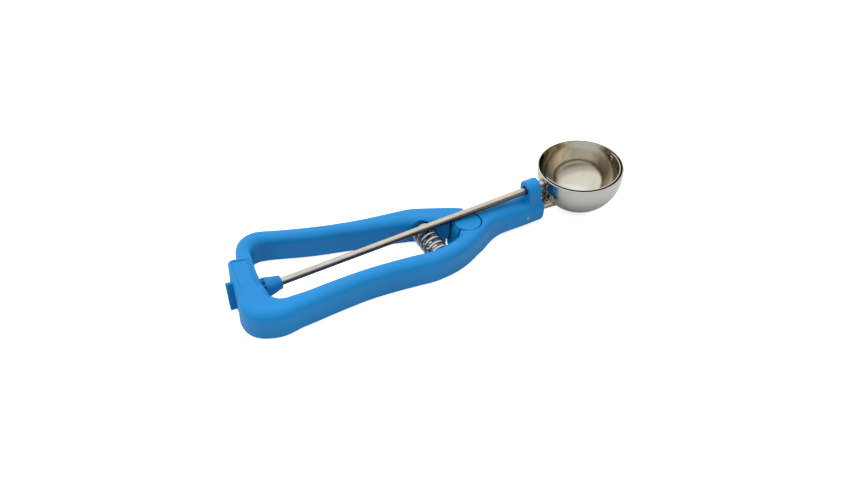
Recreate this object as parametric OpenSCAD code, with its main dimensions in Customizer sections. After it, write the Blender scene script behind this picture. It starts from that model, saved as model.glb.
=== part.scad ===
// Lever ice cream scoop: squeezing the far arm toward the near arm turns the scraper rod
// through a rack and pinion, and the scraper band sweeps the inside of the bowl.
// Units mm. +X to the bowl, +Y to the moving arm, +Z up. Z = 0 is the flat underside of the
// handle, and the origin lies on it under the rod.

/* [Bowl] */
// Outer diameter of the bowl
bowl_d = 49; // [40:0.5:66]
// Sheet thickness of the bowl
bowl_wall = 0.8; // [0.6:0.1:1.5]
// Height of the straight collar above the hemisphere
bowl_collar = 3.4; // [0:0.1:8]
// Distance from the hinge to the middle of the bowl, along the rod
bowl_reach = 76.5; // [70:0.5:95]

/* [Handle] */
// Height of the arms
arm_h = 15.8; // [12:0.1:20]
// Width of the near arm
near_w = 10; // [8:0.1:13]
// Width of the far arm where it is slim
far_w = 9; // [8:0.1:12]
// Distance from the hinge to the front face of the butt
butt_r = 117.6; // [110:0.1:130]
// Radius of the round nose
nose_r = 8.2; // [7:0.1:10]

/* [Hinge] */
// Radius of the knuckle
knuckle_r = 7.4; // [6:0.1:9]
// Gap between the knuckle and the wall of its pocket
knuckle_gap = 0.5; // [0.3:0.1:1]
// Thickness of the floor under the knuckle
floor_t = 3; // [2:0.1:5]
// Swing of the moving handle, in degrees
swing = 5.6; // [3:0.1:6]

/* [Scraper drive] */
// Diameter of the scraper rod
rod_d = 4; // [3:0.1:5]
// Angle between the rod and the handle's underside
rod_tilt = 4.9; // [3:0.1:6]
// Height of the rod over the hinge
rod_z = 18; // [17:0.1:20]
// Teeth on the pinion
teeth = 10; // [8:1:14]
// Pitch radius of the pinion
pitch_r = 4.5; // [4:0.1:6]
// Sideways play of a tooth in its gap, each side
backlash = 0.24; // [0.1:0.01:0.4]
// Width of the scraper band
band_w = 6.6; // [5:0.1:12]
// Thickness of the scraper band
band_t = 0.6; // [0.4:0.1:1]

/* [Spring] */
// Outer diameter of the spring
spring_d = 12.6; // [10:0.1:14]
// Wire diameter
wire_d = 1.9; // [1.2:0.1:2.4]
// Turns
coils = 6.5; // [4:0.5:9]

/* [Hidden] */
$fn = 96;
hx = -26.5;
hy = -4.3;
bowl_r = bowl_d / 2;
butt_back = butt_r + 15;
pocket_r = knuckle_r + knuckle_gap;
rod_r = rod_d / 2;
run_fit = 0.05;
snug = 0.02;
module_m = 2 * pitch_r / teeth;
lever_r = 120.5;
ratio = lever_r / pitch_r;
rack_step = 360 / teeth / ratio;
rod_drop = tan(rod_tilt);
butt_x = hx - lever_r;
axis_z_butt = rod_z - lever_r * rod_drop;
stop_y0 = -4.95;
stop_w = 7.4;
stop_z0 = 5;
stop_h = 5.5;
rack_low = axis_z_butt + pitch_r - 0.65;
wall_front = 1.8;
cav_r0 = butt_r + wall_front;
cav_r1 = 125.6;
cav_z0 = 1.2;
cav_z1 = 14.85;
plat_top = 16.8;
hole_r = 5.6;
lug_r = 5.5;
lug_s0 = 39.2;
lug_s1 = 47.1;
shank_r = 3.3;
shank_z = 7.6;
pin_x = 11.8;
pin_z = 7.0;
spring_x = -48.8;
spring_z = 7.9;
spring_y0 = -14.6;
spring_y1 = 8.1;
band_r = 22.6;
band_rest = -90;

steel = [0.78, 0.77, 0.74];
blue = [0.16, 0.53, 0.84];
brass = [0.78, 0.63, 0.35];

// ---- frames ----

// Along the rod: +X is the rod's axis, measured from over the hinge.
module rod_frame() { translate([hx, 0, rod_z]) rotate([0, -rod_tilt, 0]) children(); }

// Centred on the bowl, in the rod's frame.
module bowl_frame() { rod_frame() translate([bowl_reach, 0, 0]) children(); }

// Sector about the hinge; angles run from -X toward +Y, radius along the section's X.
module butt_sector(a0, a1) {
    translate([hx, hy, 0]) rotate([0, 0, 180 - a1]) rotate_extrude(angle = a1 - a0) children();
}

// ---- building blocks ----

// One rounded upright section as points: width w, from z0 to z1, edge roundings rt above and rb below.
function ring(x, y, h, w, z0, z1, rt, rb) = let (
        corner = function (cx, cz, r, a0) [for (k = [0:4]) [cx + r * cos(a0 + 22.5 * k), cz + r * sin(a0 + 22.5 * k)]],
        flat = concat(corner(w / 2 - rb, z0 + rb, rb, -90), corner(w / 2 - rt, z1 - rt, rt, 0),
                      corner(-w / 2 + rt, z1 - rt, rt, 90), corner(-w / 2 + rb, z0 + rb, rb, 180)))
    [for (q = flat) [x + q[0] * sin(h), y - q[0] * cos(h), q[1]]];

// Smooth curve through the stations, m steps between two of them.
function between(p0, p1, p2, p3, t) = 0.5 * (2 * p1 + (p2 - p0) * t + (2 * p0 - 5 * p1 + 4 * p2 - p3) * t * t
    + (3 * p1 - p0 - 3 * p2 + p3) * t * t * t);
function smooth(s, m) = concat([for (i = [0:len(s) - 2]) for (k = [0:m - 1])
    between(s[max(i - 1, 0)], s[i], s[i + 1], s[min(i + 2, len(s) - 1)], k / m)], [s[len(s) - 1]]);

// Body swept through stations [x, y, width, z0, z1, upper rounding, lower rounding].
module loft(stations, m = 4) {
    s = smooth(stations, m);
    n = len(s);
    c = 20;
    pts = [for (i = [0:n - 1]) let (a = s[max(i - 1, 0)], b = s[min(i + 1, n - 1)], h = atan2(b[1] - a[1], b[0] - a[0]))
        each ring(s[i][0], s[i][1], h, s[i][2], s[i][3], s[i][4], s[i][5], s[i][6])];
    faces = concat(
        [[for (j = [0:c - 1]) c - 1 - j]],
        [for (i = [0:n - 2]) for (j = [0:c - 1]) [i * c + j, (i + 1) * c + (j + 1) % c, (i + 1) * c + j]],
        [for (i = [0:n - 2]) for (j = [0:c - 1]) [i * c + j, i * c + (j + 1) % c, (i + 1) * c + (j + 1) % c]],
        [[for (j = [0:c - 1]) (n - 1) * c + j]]);
    polyhedron(pts, faces, convexity = 6);
}

// Box about the hinge: everything at angles a0 to a1, from r0 to r1 and z0 to z1.
module sector_box(a0, a1, r0, r1, z0, z1) {
    butt_sector(a0, a1) translate([r0, z0]) square([r1 - r0, z1 - z0]);
}

// Leaning blade of the stop block from x0 to x1, grown by g all round.
module stop_blade(g, x0, x1) {
    translate([x0, 0, 0]) rotate([90, 0, 90]) linear_extrude(x1 - x0)
        polygon([[5.2 + g, 14.4 + g], [3.4 - g, 14.4 + g], [-1.3 - g, 0.8 - g], [0.5 + g, 0.8 - g]]);
}

// ---- fixed handle ----

// From the open end of the butt round the near corner, along the near arm and out to the nose.
function at_butt(a, w) = [hx - (butt_r + w / 2) * cos(a), hy + (butt_r + w / 2) * sin(a)];
near_stations = [
    concat(at_butt(10, 12.7), [12.7, 0, 16.8, 3, 2]),
    concat(at_butt(5, 13.4), [13.4, 0, 16.8, 3, 2]),
    concat(at_butt(0.5, 13.7), [13.7, 0, 16.7, 3.2, 2]),
    [-150.7, -8.8, 15.3, 0, 16.6, 3.6, 2],
    [-151.0, -12.9, 17.3, 0, 16.4, 4, 2],
    [-149.6, -17.4, 18.7, 0, 16.2, 4.2, 2],
    [-146.2, -20.3, 17.1, 0, 16.1, 4.2, 2],
    [-141.9, -22.0, 15.1, 0, 16.0, 4.2, 2],
    [-137.6, -22.3, 13.1, 0, 15.9, 4.2, 2],
    [-133.6, -21.9, 12, 0, arm_h, 4.2, 2],
    [-124, -21.3, 11.1, 0, arm_h, 4.2, 2],
    [-112.5, -20.1, near_w + 0.8, 0, arm_h, 4.2, 2],
    [-95, -18.9, near_w + 0.3, 0, arm_h, 4.2, 2],
    [-79, -19.2, near_w + 0.4, 0, arm_h, 4.2, 2],
    [-66, -20.1, near_w + 0.5, 0, arm_h, 4.2, 2],
    [-56, -20.9, near_w + 0.4, 0, arm_h, 4.2, 2],
    [-44.8, -19.5, near_w + 0.4, 0, arm_h, 4.2, 2.2],
    [-36.1, -16.7, near_w + 0.4, 0, arm_h, 4.2, 2.4],
    [-26.4, -11.5, 11, 0, arm_h, 4.2, 2.8],
    [-15.6, -3.6, 15, 0, 15.9, 5, 3.6],
    [-8, -0.6, 16.3, 0, 16.1, 6.8, 4.6],
    [0, 0, 2 * nose_r, 0, 16.2, 7.6, 5],
    [10, 0, 16, 0, 15.9, 7.4, 5.4],
    [19, 0, 15.4, 0.3, 15.6, 7.2, 5.8],
    [21.6, 0, 14.8, 0.7, 15.3, 7, 6],
    [23, 0, 12.4, 1.9, 14.1, 5.8, 5.4]];

module collar_lug() {
    len = lug_s1 - lug_s0;
    rod_frame() translate([lug_s0, 0, 0]) rotate([0, 90, 0]) rotate_extrude()
        polygon(concat([[0, 0]], [for (k = [0:4]) [lug_r - 0.8 + 0.8 * sin(22.5 * k), 0.8 - 0.8 * cos(22.5 * k)]],
                       [for (k = [0:4]) [lug_r - 0.8 + 0.8 * cos(22.5 * k), len - 0.8 + 0.8 * sin(22.5 * k)]], [[0, len]]));
    translate([13.1, -lug_r + 0.4, 8]) cube([7.3, 2 * lug_r - 0.8, 13]);
}

module fixed_handle() {
    color(blue) difference() {
        union() {
            loft(near_stations);
            // ring of the hinge pocket and the lug that carries the rod
            translate([hx, hy, 0.12]) cylinder(r = 10.6, h = arm_h - 0.9);
            collar_lug();
        }
        // ledge along the front of the platform
        sector_box(-3, 12, butt_r - 3, cav_r0, arm_h, 20);
        // channel for the toothed bar and its open end
        sector_box(-7.4, 12, cav_r0, cav_r1, cav_z0, cav_z1);
        sector_box(4.2, 12, butt_r - 2, cav_r0 + 0.5, cav_z0, cav_z1);
        // seat of the stop block in the back wall
        stop_blade(0.03, -164, -155.85);
        translate([-156.5, stop_y0 - 0.03, stop_z0 - 0.03]) cube([7.5, stop_w + 0.06, stop_h + 0.06]);
        // wider mouth of the channel, so that the far corner can close on it
        sector_box(8.7, 12, butt_r - 2, cav_r1 + 0.1, 0.75, 15.3);
        // hole for the pinion
        rod_frame() translate([-125.4, 0, 0]) rotate([0, 90, 0]) cylinder(r = hole_r, h = 12);
        // bare panel on the platform
        sector_box(-1.5, 8.9, cav_r0 + 1.4, 128, plat_top - 0.35, plat_top + 1);
        // pocket of the knuckle, and the way out for the moving arm
        translate([hx, hy, floor_t]) cylinder(r = pocket_r, h = 20);
        translate([hx, hy, floor_t]) rotate([0, 0, 70]) rotate_extrude(angle = 130) square([30, 20]);
        translate([hx, hy, floor_t]) rotate([0, 0, 190]) rotate_extrude(angle = 25) square([11.5, 20]);
        translate([hx, hy, -1]) rotate([0, 0, 70]) rotate_extrude(angle = 130) translate([10.7, 0]) square([20, 24]);
        // hinge hole and the seat of the screw head
        translate([hx, hy, -1]) cylinder(r = 2.4 + run_fit, h = 6);
        translate([hx, hy, -1]) cylinder(r = 4.3, h = 2.5);
        // rod bearing
        rod_frame() translate([lug_s0 - 2, 0, 0]) rotate([0, 90, 0]) cylinder(r = rod_r + run_fit, h = 20);
        rod_frame() translate([lug_s0 - 2, 0, 0]) rotate([0, 90, 0]) cylinder(r = rod_r + 0.7, h = 3.4);
        // shank and cross-pin
        translate([6, 0, shank_z]) rotate([0, 90, 0]) cylinder(r = shank_r + snug, h = 30);
        translate([pin_x, 12, pin_z]) rotate([90, 0, 0]) cylinder(r = 1 + snug, h = 24);
        // spring seat
        translate([spring_x, spring_y0 - 2.2, spring_z]) rotate([-90, 0, 0]) cylinder(r = spring_d / 2 + 0.4, h = 12);
    }
    color(blue) intersection() {
        translate([spring_x, spring_y0 - 3.2, spring_z]) rotate([-90, 0, 0]) cylinder(r = 3.3, h = 5.6);
        translate([spring_x - 10, spring_y0 - 3.2, 1]) cube([20, 8, 14]);
    }
}

// ---- moving handle ----

// From the bar round the far corner and along the far arm to the knuckle.
far_stations = [
    [-146.0, 17.2, 7.7, 1.4, 14.6, 0.5, 0.4],
    [-144.9, 22.9, 8.0, 1.4, 14.6, 1.8, 1],
    [-143.1, 27.5, 9.2, 1.3, 14.7, 3.4, 1.6],
    [-140.0, 30.9, 10.7, 0.4, 15.5, 4.2, 2],
    [-135.5, 32.3, far_w + 1.7, 0, arm_h, 4.2, 2],
    [-131.3, 31.7, far_w + 1.2, 0, arm_h, 4.2, 2],
    [-124.2, 29.5, far_w + 0.6, 0, arm_h, 4.2, 2],
    [-114.5, 26.5, far_w + 0.8, 0, arm_h, 4.2, 2],
    [-104.2, 23.7, far_w + 0.9, 0, arm_h, 4.2, 2],
    [-92, 21.1, far_w + 0.8, 0, arm_h, 4.2, 2],
    [-78.4, 18.6, 10.5, 0, arm_h, 4.2, 2],
    [-65, 16.8, 11.7, 0, arm_h, 4.2, 2],
    [-57.3, 15.6, 13, 0, arm_h, 4.2, 2],
    [-50.5, 14.1, 13.8, 0, arm_h, 4, 2],
    [-40.7, 9.8, 14, 0, arm_h, 3.4, 2],
    [-35, 6.8, 13.8, 0, arm_h, 2.4, 2],
    [-29.2, 3.5, 13.6, 0, arm_h, 1.6, 2]];

module rack_tooth_gap() {
    w = module_m * 3.14159 / 4;
    k = tan(24);
    rotate([0, -rod_tilt, 0]) rotate([90, 0, 90]) translate([0, 0, -4]) linear_extrude(8)
        polygon([[-w - backlash - 0.5 * module_m * k - 1.1 * k, -1.6 - module_m * 0.5],
                 [w + backlash + 0.5 * module_m * k + 1.1 * k, -1.6 - module_m * 0.5],
                 [w + backlash - module_m * 1.15 * k, module_m * 1.15],
                 [-w - backlash + module_m * 1.15 * k, module_m * 1.15]]);
}

module moving_handle() {
    color(blue) resize([0, 0, 0]) difference() {
        union() {
            difference() {
                loft(far_stations);
                // clearance at the nose and over the hinge floor
                translate([hx, hy, -1]) rotate([0, 0, -60]) rotate_extrude(angle = 134) square([20, 20]);
                translate([hx, hy, -1]) cylinder(r = 11.2, h = floor_t + 1.3);
            }
            // knuckle
            translate([hx, hy, floor_t + 0.1]) rotate_extrude()
                polygon(concat([[0, 0], [knuckle_r, 0]], [for (k = [0:4]) [knuckle_r - 0.6 + 0.6 * cos(22.5 * k),
                    arm_h - floor_t - 0.62 + 0.6 * sin(22.5 * k)]], [[0, arm_h - floor_t - 0.02]]));
            // toothed bar: web and upper flange
            butt_sector(-1.2, 11) polygon([[123, 1.87], [124.5, 1.87], [124.9, 2.27], [124.9, 13.6], [124.3, 14.2],
                [cav_r0 + 0.4, 14.2], [cav_r0 + 0.4, rack_low], [123, rack_low]]);
            // shoulder on the bar's end that meets the stop block's tip
            sector_box(-1.12, -0.37, 124.1, 125.4, 4.5, 11);
        }
        // gaps between the teeth, on the pinion's side of the flange
        translate([hx, hy, 0])
            for (k = [-1:6])
                rotate([0, 0, -2.05 - k * rack_step]) translate([-lever_r, 0, axis_z_butt + pitch_r]) rotate([0, 0, 2.05])
                    rack_tooth_gap();
        // room for the pinion at the end of the swing
        sector_box(9.3, 10.66, 110, 122.93, 0, rack_low);
        // relief under the rod, over the whole swing
        translate([hx, hy, 0]) for (a = [0, swing / 2, swing]) rotate([0, 0, -a]) translate([-hx, -hy, 0])
            rod_frame() translate([-22, 0, 0]) rotate([0, 90, 0]) cylinder(r = rod_r + 0.36, h = 33.6);
        // hinge screw
        translate([hx, hy, 0]) cylinder(r = 2.4 + snug, h = 12.6);
        // spring seat
        translate([spring_x, spring_y1 - 10, spring_z]) rotate([-90, 0, 0]) cylinder(r = spring_d / 2 + 0.4, h = 10);
    }
    color(blue) translate([spring_x, spring_y1 - 2.4, spring_z]) rotate([-90, 0, 0]) cylinder(r = 3.3, h = 5);
}

// Plug in the back wall: its blade stands out behind, and its tip holds the bar's end shoulder.
module stop_block() {
    color(blue) {
        stop_blade(0, -160.7, -155.9);
        translate([-156.45, stop_y0, stop_z0]) cube([4.93, stop_w, stop_h]);
    }
}

// ---- scraper ----

module pinion() {
    half = 90 / teeth;
    tip = pitch_r + module_m - 0.05;
    root = pitch_r - 1.15 * module_m;
    color(blue) rod_frame() difference() {
        union() {
            translate([-122.4, 0, 0]) rotate([0, 90, 0]) rotate([0, 0, -90]) linear_extrude(6.9)
                polygon([for (i = [0:teeth - 1]) for (p = [[root, -1.05], [root + 0.35, -0.86], [pitch_r, -0.5], [tip - 0.35, -0.27],
                        [tip, -0.16], [tip, 0.16], [tip - 0.35, 0.27], [pitch_r, 0.5], [root + 0.35, 0.86], [root, 1.05]])
                    let (a = 360 * i / teeth + 90 + p[1] * (2 * half - 3)) [p[0] * cos(a), p[0] * sin(a)]]);
            translate([-115.6, 0, 0]) rotate([0, 90, 0]) cylinder(r1 = 5.44, r2 = 3.45, h = 8.6);
        }
        translate([-123.4, 0, 0]) rotate([0, 90, 0]) cylinder(r = rod_r + snug, h = 20);
        translate([-111.5, 0, -8]) cylinder(r = 0.75 + snug, h = 10.6);
    }
}

module pinion_pin() {
    color(steel) rod_frame() translate([-111.5, 0, -4.2]) cylinder(r = 0.75, h = 6.7);
}

module scraper_rod() {
    color(steel) rod_frame() difference() {
        translate([-122.4, 0, 0]) rotate([0, 90, 0]) cylinder(r = rod_r, h = 122.4 + bowl_reach - band_r + band_t + 1.04);
        translate([-111.5, 0, -8]) cylinder(r = 0.75 + snug, h = 16);
        // step that the band's tab sits on
        translate([bowl_reach - band_r - 0.03, 0, 0]) rotate([0, 90, 0]) difference() {
            cylinder(r = 4, h = 4);
            translate([0, 0, -1]) cylinder(r = 1.3, h = 6);
        }
    }
}

// Half ring swept about the bowl's middle, tapering to round tabs on the rod's axis.
module scraper_band() {
    color(steel) bowl_frame() rotate([band_rest, 0, 0]) difference() {
        intersection() {
            rotate([90, 0, 0]) translate([0, 0, -band_w / 2]) rotate([0, 0, 180]) rotate_extrude(angle = 180)
                translate([band_r - band_t, 0]) square([band_t, band_w]);
            rotate([0, 90, 0]) translate([0, 0, -30]) linear_extrude(60) polygon([[0, -3], [2, -3.4], [8, -band_w / 2 - 1],
                [30, -band_w / 2 - 1], [30, band_w / 2 + 1], [8, band_w / 2 + 1], [2, 3.4], [0, 3]]);
        }
        translate([-30, 0, 0]) rotate([0, 90, 0]) cylinder(r = 1.3 + snug, h = 20);
        translate([10, 0, 0]) rotate([0, 90, 0]) cylinder(r = 1.45 + run_fit, h = 20);
    }
    // round ends of the two tabs
    color(steel) bowl_frame() rotate([band_rest, 0, 0]) for (s = [0, 1])
        intersection() {
            translate([s ? band_r - band_t : -band_r, -3, 0]) cube([band_t, 6, 3.2]);
            difference() {
                rotate([0, 90, 0]) translate([0, 0, -30]) cylinder(r = 3, h = 60);
                rotate([0, 90, 0]) translate([0, 0, -30]) cylinder(r = s ? 1.45 + run_fit : 1.3 + snug, h = 60);
            }
        }
}

module near_tab_rivet() {
    color(steel) bowl_frame() translate([-band_r + band_t + 0.14, 0, 0]) rotate([0, 90, 0]) difference() {
        union() {
            cylinder(r = 2.3, h = 0.4);
            translate([0, 0, 0.4]) cylinder(r1 = 2.3, r2 = 1.7, h = 0.5);
        }
        translate([0, 0, -1]) cylinder(r = 1.3 + snug, h = 4);
    }
}

module far_pivot_rivet() {
    color(steel) bowl_frame() rotate([0, 90, 0]) {
        translate([0, 0, band_r - band_t - 1.0]) cylinder(r1 = 1.3, r2 = 1.95, h = 0.35);
        translate([0, 0, band_r - band_t - 0.65]) cylinder(r = 1.95, h = 0.45);
        translate([0, 0, band_r - band_t - 0.2]) cylinder(r = 1.45, h = 3.6);
        translate([0, 0, bowl_r + 0.12]) cylinder(r = 2.5, h = 0.4);
        translate([0, 0, bowl_r + 0.52]) cylinder(r1 = 2.5, r2 = 1.5, h = 0.45);
    }
}

module pivot_washer() {
    color(steel) bowl_frame() translate([band_r + 0.08, 0, 0]) rotate([0, 90, 0]) difference() {
        cylinder(r = 2.6, h = 0.5);
        translate([0, 0, -1]) cylinder(r = 1.45 + snug, h = 3);
    }
}

module rod_eyelet() {
    color(steel) bowl_frame() rotate([0, 90, 0]) difference() {
        union() {
            translate([0, 0, -bowl_r - 0.75]) cylinder(r = 3.5, h = 0.6);
            translate([0, 0, -bowl_r - 0.5]) cylinder(r = 2.7, h = 1.9);
        }
        translate([0, 0, -30]) cylinder(r = rod_r + run_fit, h = 20);
    }
}

// ---- bowl ----

module bowl() {
    inner = bowl_r - bowl_wall;
    color(steel) bowl_frame() difference() {
        union() {
            intersection() {
                sphere(r = bowl_r);
                translate([-30, -30, -30]) cube([60, 60, 30]);
            }
            cylinder(r = bowl_r, h = bowl_collar - 0.4);
            translate([0, 0, bowl_collar - 0.4]) rotate_extrude() translate([bowl_r - 0.4, 0]) circle(r = 0.4);
        }
        sphere(r = inner);
        cylinder(r = inner, h = 10);
        translate([-bowl_r - 3, 0, 0]) rotate([0, 90, 0]) cylinder(r = 2.7 + snug, h = 6);
        translate([bowl_r - 3, 0, 0]) rotate([0, 90, 0]) cylinder(r = 1.45 + snug, h = 6);
    }
}

module shank() {
    color(steel) difference() {
        translate([6.2, 0, shank_z]) rotate([0, 90, 0]) cylinder(r = shank_r, h = 34);
        bowl_frame() sphere(r = bowl_r + snug);
        translate([pin_x, 12, pin_z]) rotate([90, 0, 0]) cylinder(r = 1 + snug, h = 24);
    }
}

module braze_fillet() {
    color(brass) difference() {
        intersection() {
            translate([20, 0, shank_z]) rotate([0, 90, 0]) cylinder(r = shank_r + 0.75, h = 20);
            bowl_frame() sphere(r = bowl_r + 0.75);
        }
        translate([10, 0, shank_z]) rotate([0, 90, 0]) cylinder(r = shank_r + snug, h = 40);
        bowl_frame() sphere(r = bowl_r + snug);
    }
}

module shank_pin() {
    color(steel) translate([pin_x, 7.9, pin_z]) rotate([90, 0, 0]) cylinder(r = 1, h = 15.8);
}

// ---- hinge hardware ----

module hinge_screw() {
    color(steel) translate([hx, hy, 0]) difference() {
        union() {
            translate([0, 0, 0.15]) cylinder(r1 = 3.3, r2 = 3.9, h = 0.35);
            translate([0, 0, 0.5]) cylinder(r = 3.9, h = 0.45);
            translate([0, 0, 0.5]) cylinder(r = 2.4, h = 11.8);
        }
        translate([0, 0, -0.5]) cylinder(r = 1.4, h = 1.2, $fn = 6);
    }
}

module hinge_washer() {
    color(steel) translate([hx, hy, 0.98]) difference() {
        cylinder(r = 4.2, h = 0.5);
        translate([0, 0, -1]) cylinder(r = 2.4 + run_fit, h = 3);
    }
}

// ---- spring ----

module spring() {
    turns = coils;
    seg = 24;
    ring = 10;
    mid_r = (spring_d - wire_d) / 2;
    y0 = spring_y0 - 2.1;
    y1 = spring_y1;
    span = y1 - y0 - wire_d;
    n = turns * seg;
    lead = function (t) t < 0.75 ? t * wire_d * 1.02
        : t > turns - 0.75 ? span - (turns - t) * wire_d * 1.02
        : 0.75 * wire_d * 1.02 + (t - 0.75) / (turns - 1.5) * (span - 1.5 * wire_d * 1.02);
    pts = [for (i = [0:n]) let (t = i / seg, a = 360 * t) for (j = [0:ring - 1]) let (b = 360 * j / ring, r = mid_r + wire_d / 2 * cos(b))
        [r * cos(a), r * sin(a), wire_d / 2 + lead(t) + wire_d / 2 * sin(b)]];
    faces = concat(
        [[for (j = [0:ring - 1]) ring - 1 - j]],
        [for (i = [0:n - 1]) for (j = [0:ring - 1]) [i * ring + j, (i + 1) * ring + (j + 1) % ring, (i + 1) * ring + j]],
        [for (i = [0:n - 1]) for (j = [0:ring - 1]) [i * ring + j, i * ring + (j + 1) % ring, (i + 1) * ring + (j + 1) % ring]],
        [[for (j = [0:ring - 1]) n * ring + j]]);
    color(steel) translate([spring_x, y0, spring_z]) rotate([-90, 0, 0]) polyhedron(pts, faces, convexity = 8);
}

fixed_handle();
moving_handle();
stop_block();
pinion();
pinion_pin();
scraper_rod();
scraper_band();
near_tab_rivet();
far_pivot_rivet();
pivot_washer();
rod_eyelet();
bowl();
shank();
braze_fillet();
shank_pin();
hinge_screw();
hinge_washer();
spring();
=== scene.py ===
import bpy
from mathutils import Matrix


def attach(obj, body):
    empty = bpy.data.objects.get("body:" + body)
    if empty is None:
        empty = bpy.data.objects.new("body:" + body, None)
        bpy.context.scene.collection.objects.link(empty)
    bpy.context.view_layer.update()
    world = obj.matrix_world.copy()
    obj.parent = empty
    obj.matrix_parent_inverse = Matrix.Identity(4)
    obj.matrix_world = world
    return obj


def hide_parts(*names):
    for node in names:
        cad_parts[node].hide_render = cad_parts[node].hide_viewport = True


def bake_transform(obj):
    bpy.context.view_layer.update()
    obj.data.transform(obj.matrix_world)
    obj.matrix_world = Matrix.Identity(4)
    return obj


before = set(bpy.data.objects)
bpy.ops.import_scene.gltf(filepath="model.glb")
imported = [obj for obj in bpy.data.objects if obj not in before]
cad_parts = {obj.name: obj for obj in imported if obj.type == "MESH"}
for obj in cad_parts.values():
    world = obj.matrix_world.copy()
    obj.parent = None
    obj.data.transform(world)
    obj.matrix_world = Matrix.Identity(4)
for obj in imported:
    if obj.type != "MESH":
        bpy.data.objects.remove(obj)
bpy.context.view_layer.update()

import math

import bpy
import numpy as np
from mathutils import Matrix, Vector

F = np.float32

# ------------------------------------------------------------------ sizes, in mm, as in the CAD
HX, HY = -26.5, -4.3
ROD_Z, TILT = 18.0, math.radians(4.9)
REACH, BOWL_R, WALL = 76.5, 24.5, 0.8
CT, ST = math.cos(TILT), math.sin(TILT)
LEVER_R, PITCH_R, TEETH = 120.5, 4.5, 10
MODULE = 2 * PITCH_R / TEETH
BACKLASH = 0.24
BUTT_R, CAV0, CAV1 = 117.6, 119.4, 125.6
AXIS_Z_BUTT = ROD_Z - LEVER_R * math.tan(TILT)
RACK_LOW = AXIS_Z_BUTT + PITCH_R - 0.65
RACK_STEP = 360.0 / TEETH / (LEVER_R / PITCH_R)
SPRING = dict(x=-48.8, z=7.9, y0=-16.7, y1=8.1, d=12.6, wire=1.9, turns=6.5)
BAND_R, BAND_T, BAND_W, BAND_REST = 22.6, 0.6, 6.6, math.radians(-90)


def at_butt(a, w):
    a = math.radians(a)
    return [HX - (BUTT_R + w / 2) * math.cos(a), HY + (BUTT_R + w / 2) * math.sin(a)]


# x, y, width, bottom, top, upper rounding, lower rounding along the near arm, from the butt to the nose
NEAR = [
    at_butt(16, 12.7) + [12.7, 0, 16.8, 2.6, 2],
    at_butt(10, 12.7) + [12.7, 0, 16.8, 2.6, 2],
    at_butt(5, 13.4) + [13.4, 0, 16.8, 2.8, 2],
    at_butt(0.5, 13.7) + [13.7, 0, 16.75, 3.2, 2],
    [-150.7, -8.8, 15.3, 0, 16.6, 4.0, 2],
    [-151.0, -12.9, 17.3, 0, 16.4, 4.6, 2],
    [-149.6, -17.4, 18.7, 0, 16.2, 5.0, 2],
    [-146.2, -20.3, 17.1, 0, 16.1, 5.2, 2],
    [-141.9, -22.0, 15.1, 0, 16.0, 5.2, 2],
    [-137.6, -22.3, 13.1, 0, 15.9, 5.0, 2],
    [-133.6, -21.9, 12, 0, 15.8, 4.8, 2],
    [-124, -21.3, 11.1, 0, 15.8, 4.7, 2],
    [-112.5, -20.1, 10.8, 0, 15.8, 4.7, 2],
    [-95, -18.9, 10.3, 0, 15.8, 4.6, 2],
    [-79, -19.2, 10.4, 0, 15.8, 4.6, 2],
    [-66, -20.1, 10.5, 0, 15.8, 4.6, 2],
    [-56, -20.9, 10.4, 0, 15.8, 4.6, 2],
    [-44.8, -19.5, 10.4, 0, 15.8, 4.7, 2.2],
    [-36.1, -16.7, 10.4, 0, 15.8, 4.7, 2.4],
    [-26.4, -11.5, 11, 0, 15.8, 4.6, 2.8],
    [-15.6, -3.6, 15, 0, 15.9, 5.2, 3.6],
    [-8, -0.6, 16.3, 0, 16.1, 6.8, 4.6],
    [0, 0, 16.4, 0, 16.2, 7.6, 5],
    [10, 0, 16, 0, 15.9, 7.4, 5.4],
    [19, 0, 15.4, 0.2, 15.7, 7.2, 5.8],
    [28, 0, 15.0, 0.2, 15.6, 7.0, 6],
    [40, 0, 15.0, 0.2, 15.6, 7.0, 6],
]
FAR = [
    [-147.4, 9.0, 7.5, 1.4, 14.6, 0.5, 0.4],
    [-146.0, 17.2, 7.7, 1.4, 14.6, 0.7, 0.5],
    [-144.9, 22.9, 8.0, 1.4, 14.6, 2.4, 1],
    [-143.1, 27.5, 9.2, 1.2, 14.8, 3.9, 1.6],
    [-140.0, 30.9, 10.7, 0.4, 15.5, 4.8, 2],
    [-135.5, 32.3, 10.7, 0, 15.8, 4.8, 2],
    [-131.3, 31.7, 10.2, 0, 15.8, 4.6, 2],
    [-124.2, 29.5, 9.6, 0, 15.8, 4.4, 2],
    [-114.5, 26.5, 9.8, 0, 15.8, 4.5, 2],
    [-104.2, 23.7, 9.9, 0, 15.8, 4.5, 2],
    [-92, 21.1, 9.8, 0, 15.8, 4.5, 2],
    [-78.4, 18.6, 10.5, 0, 15.8, 4.6, 2],
    [-65, 16.8, 11.7, 0, 15.8, 4.7, 2],
    [-57.3, 15.6, 13, 0, 15.8, 4.8, 2],
    [-50.5, 14.1, 13.8, 0, 15.8, 4.6, 2],
    [-40.7, 9.8, 14, 0, 15.8, 4.0, 2],
    [-35, 6.8, 13.8, 0, 15.8, 2.8, 2],
    [-29.2, 3.5, 13.6, 0, 15.8, 1.8, 2],
    [-24.0, 0.3, 13.6, 0, 15.8, 1.8, 2],
]


# ------------------------------------------------------------------ distance fields
def smin(a, b, k):
    h = np.clip(0.5 + 0.5 * (b - a) / k, 0, 1)
    return b + (a - b) * h - k * h * (1 - h)


def smax(a, b, k):
    h = np.clip(0.5 - 0.5 * (b - a) / k, 0, 1)
    return b + (a - b) * h + k * h * (1 - h)


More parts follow.
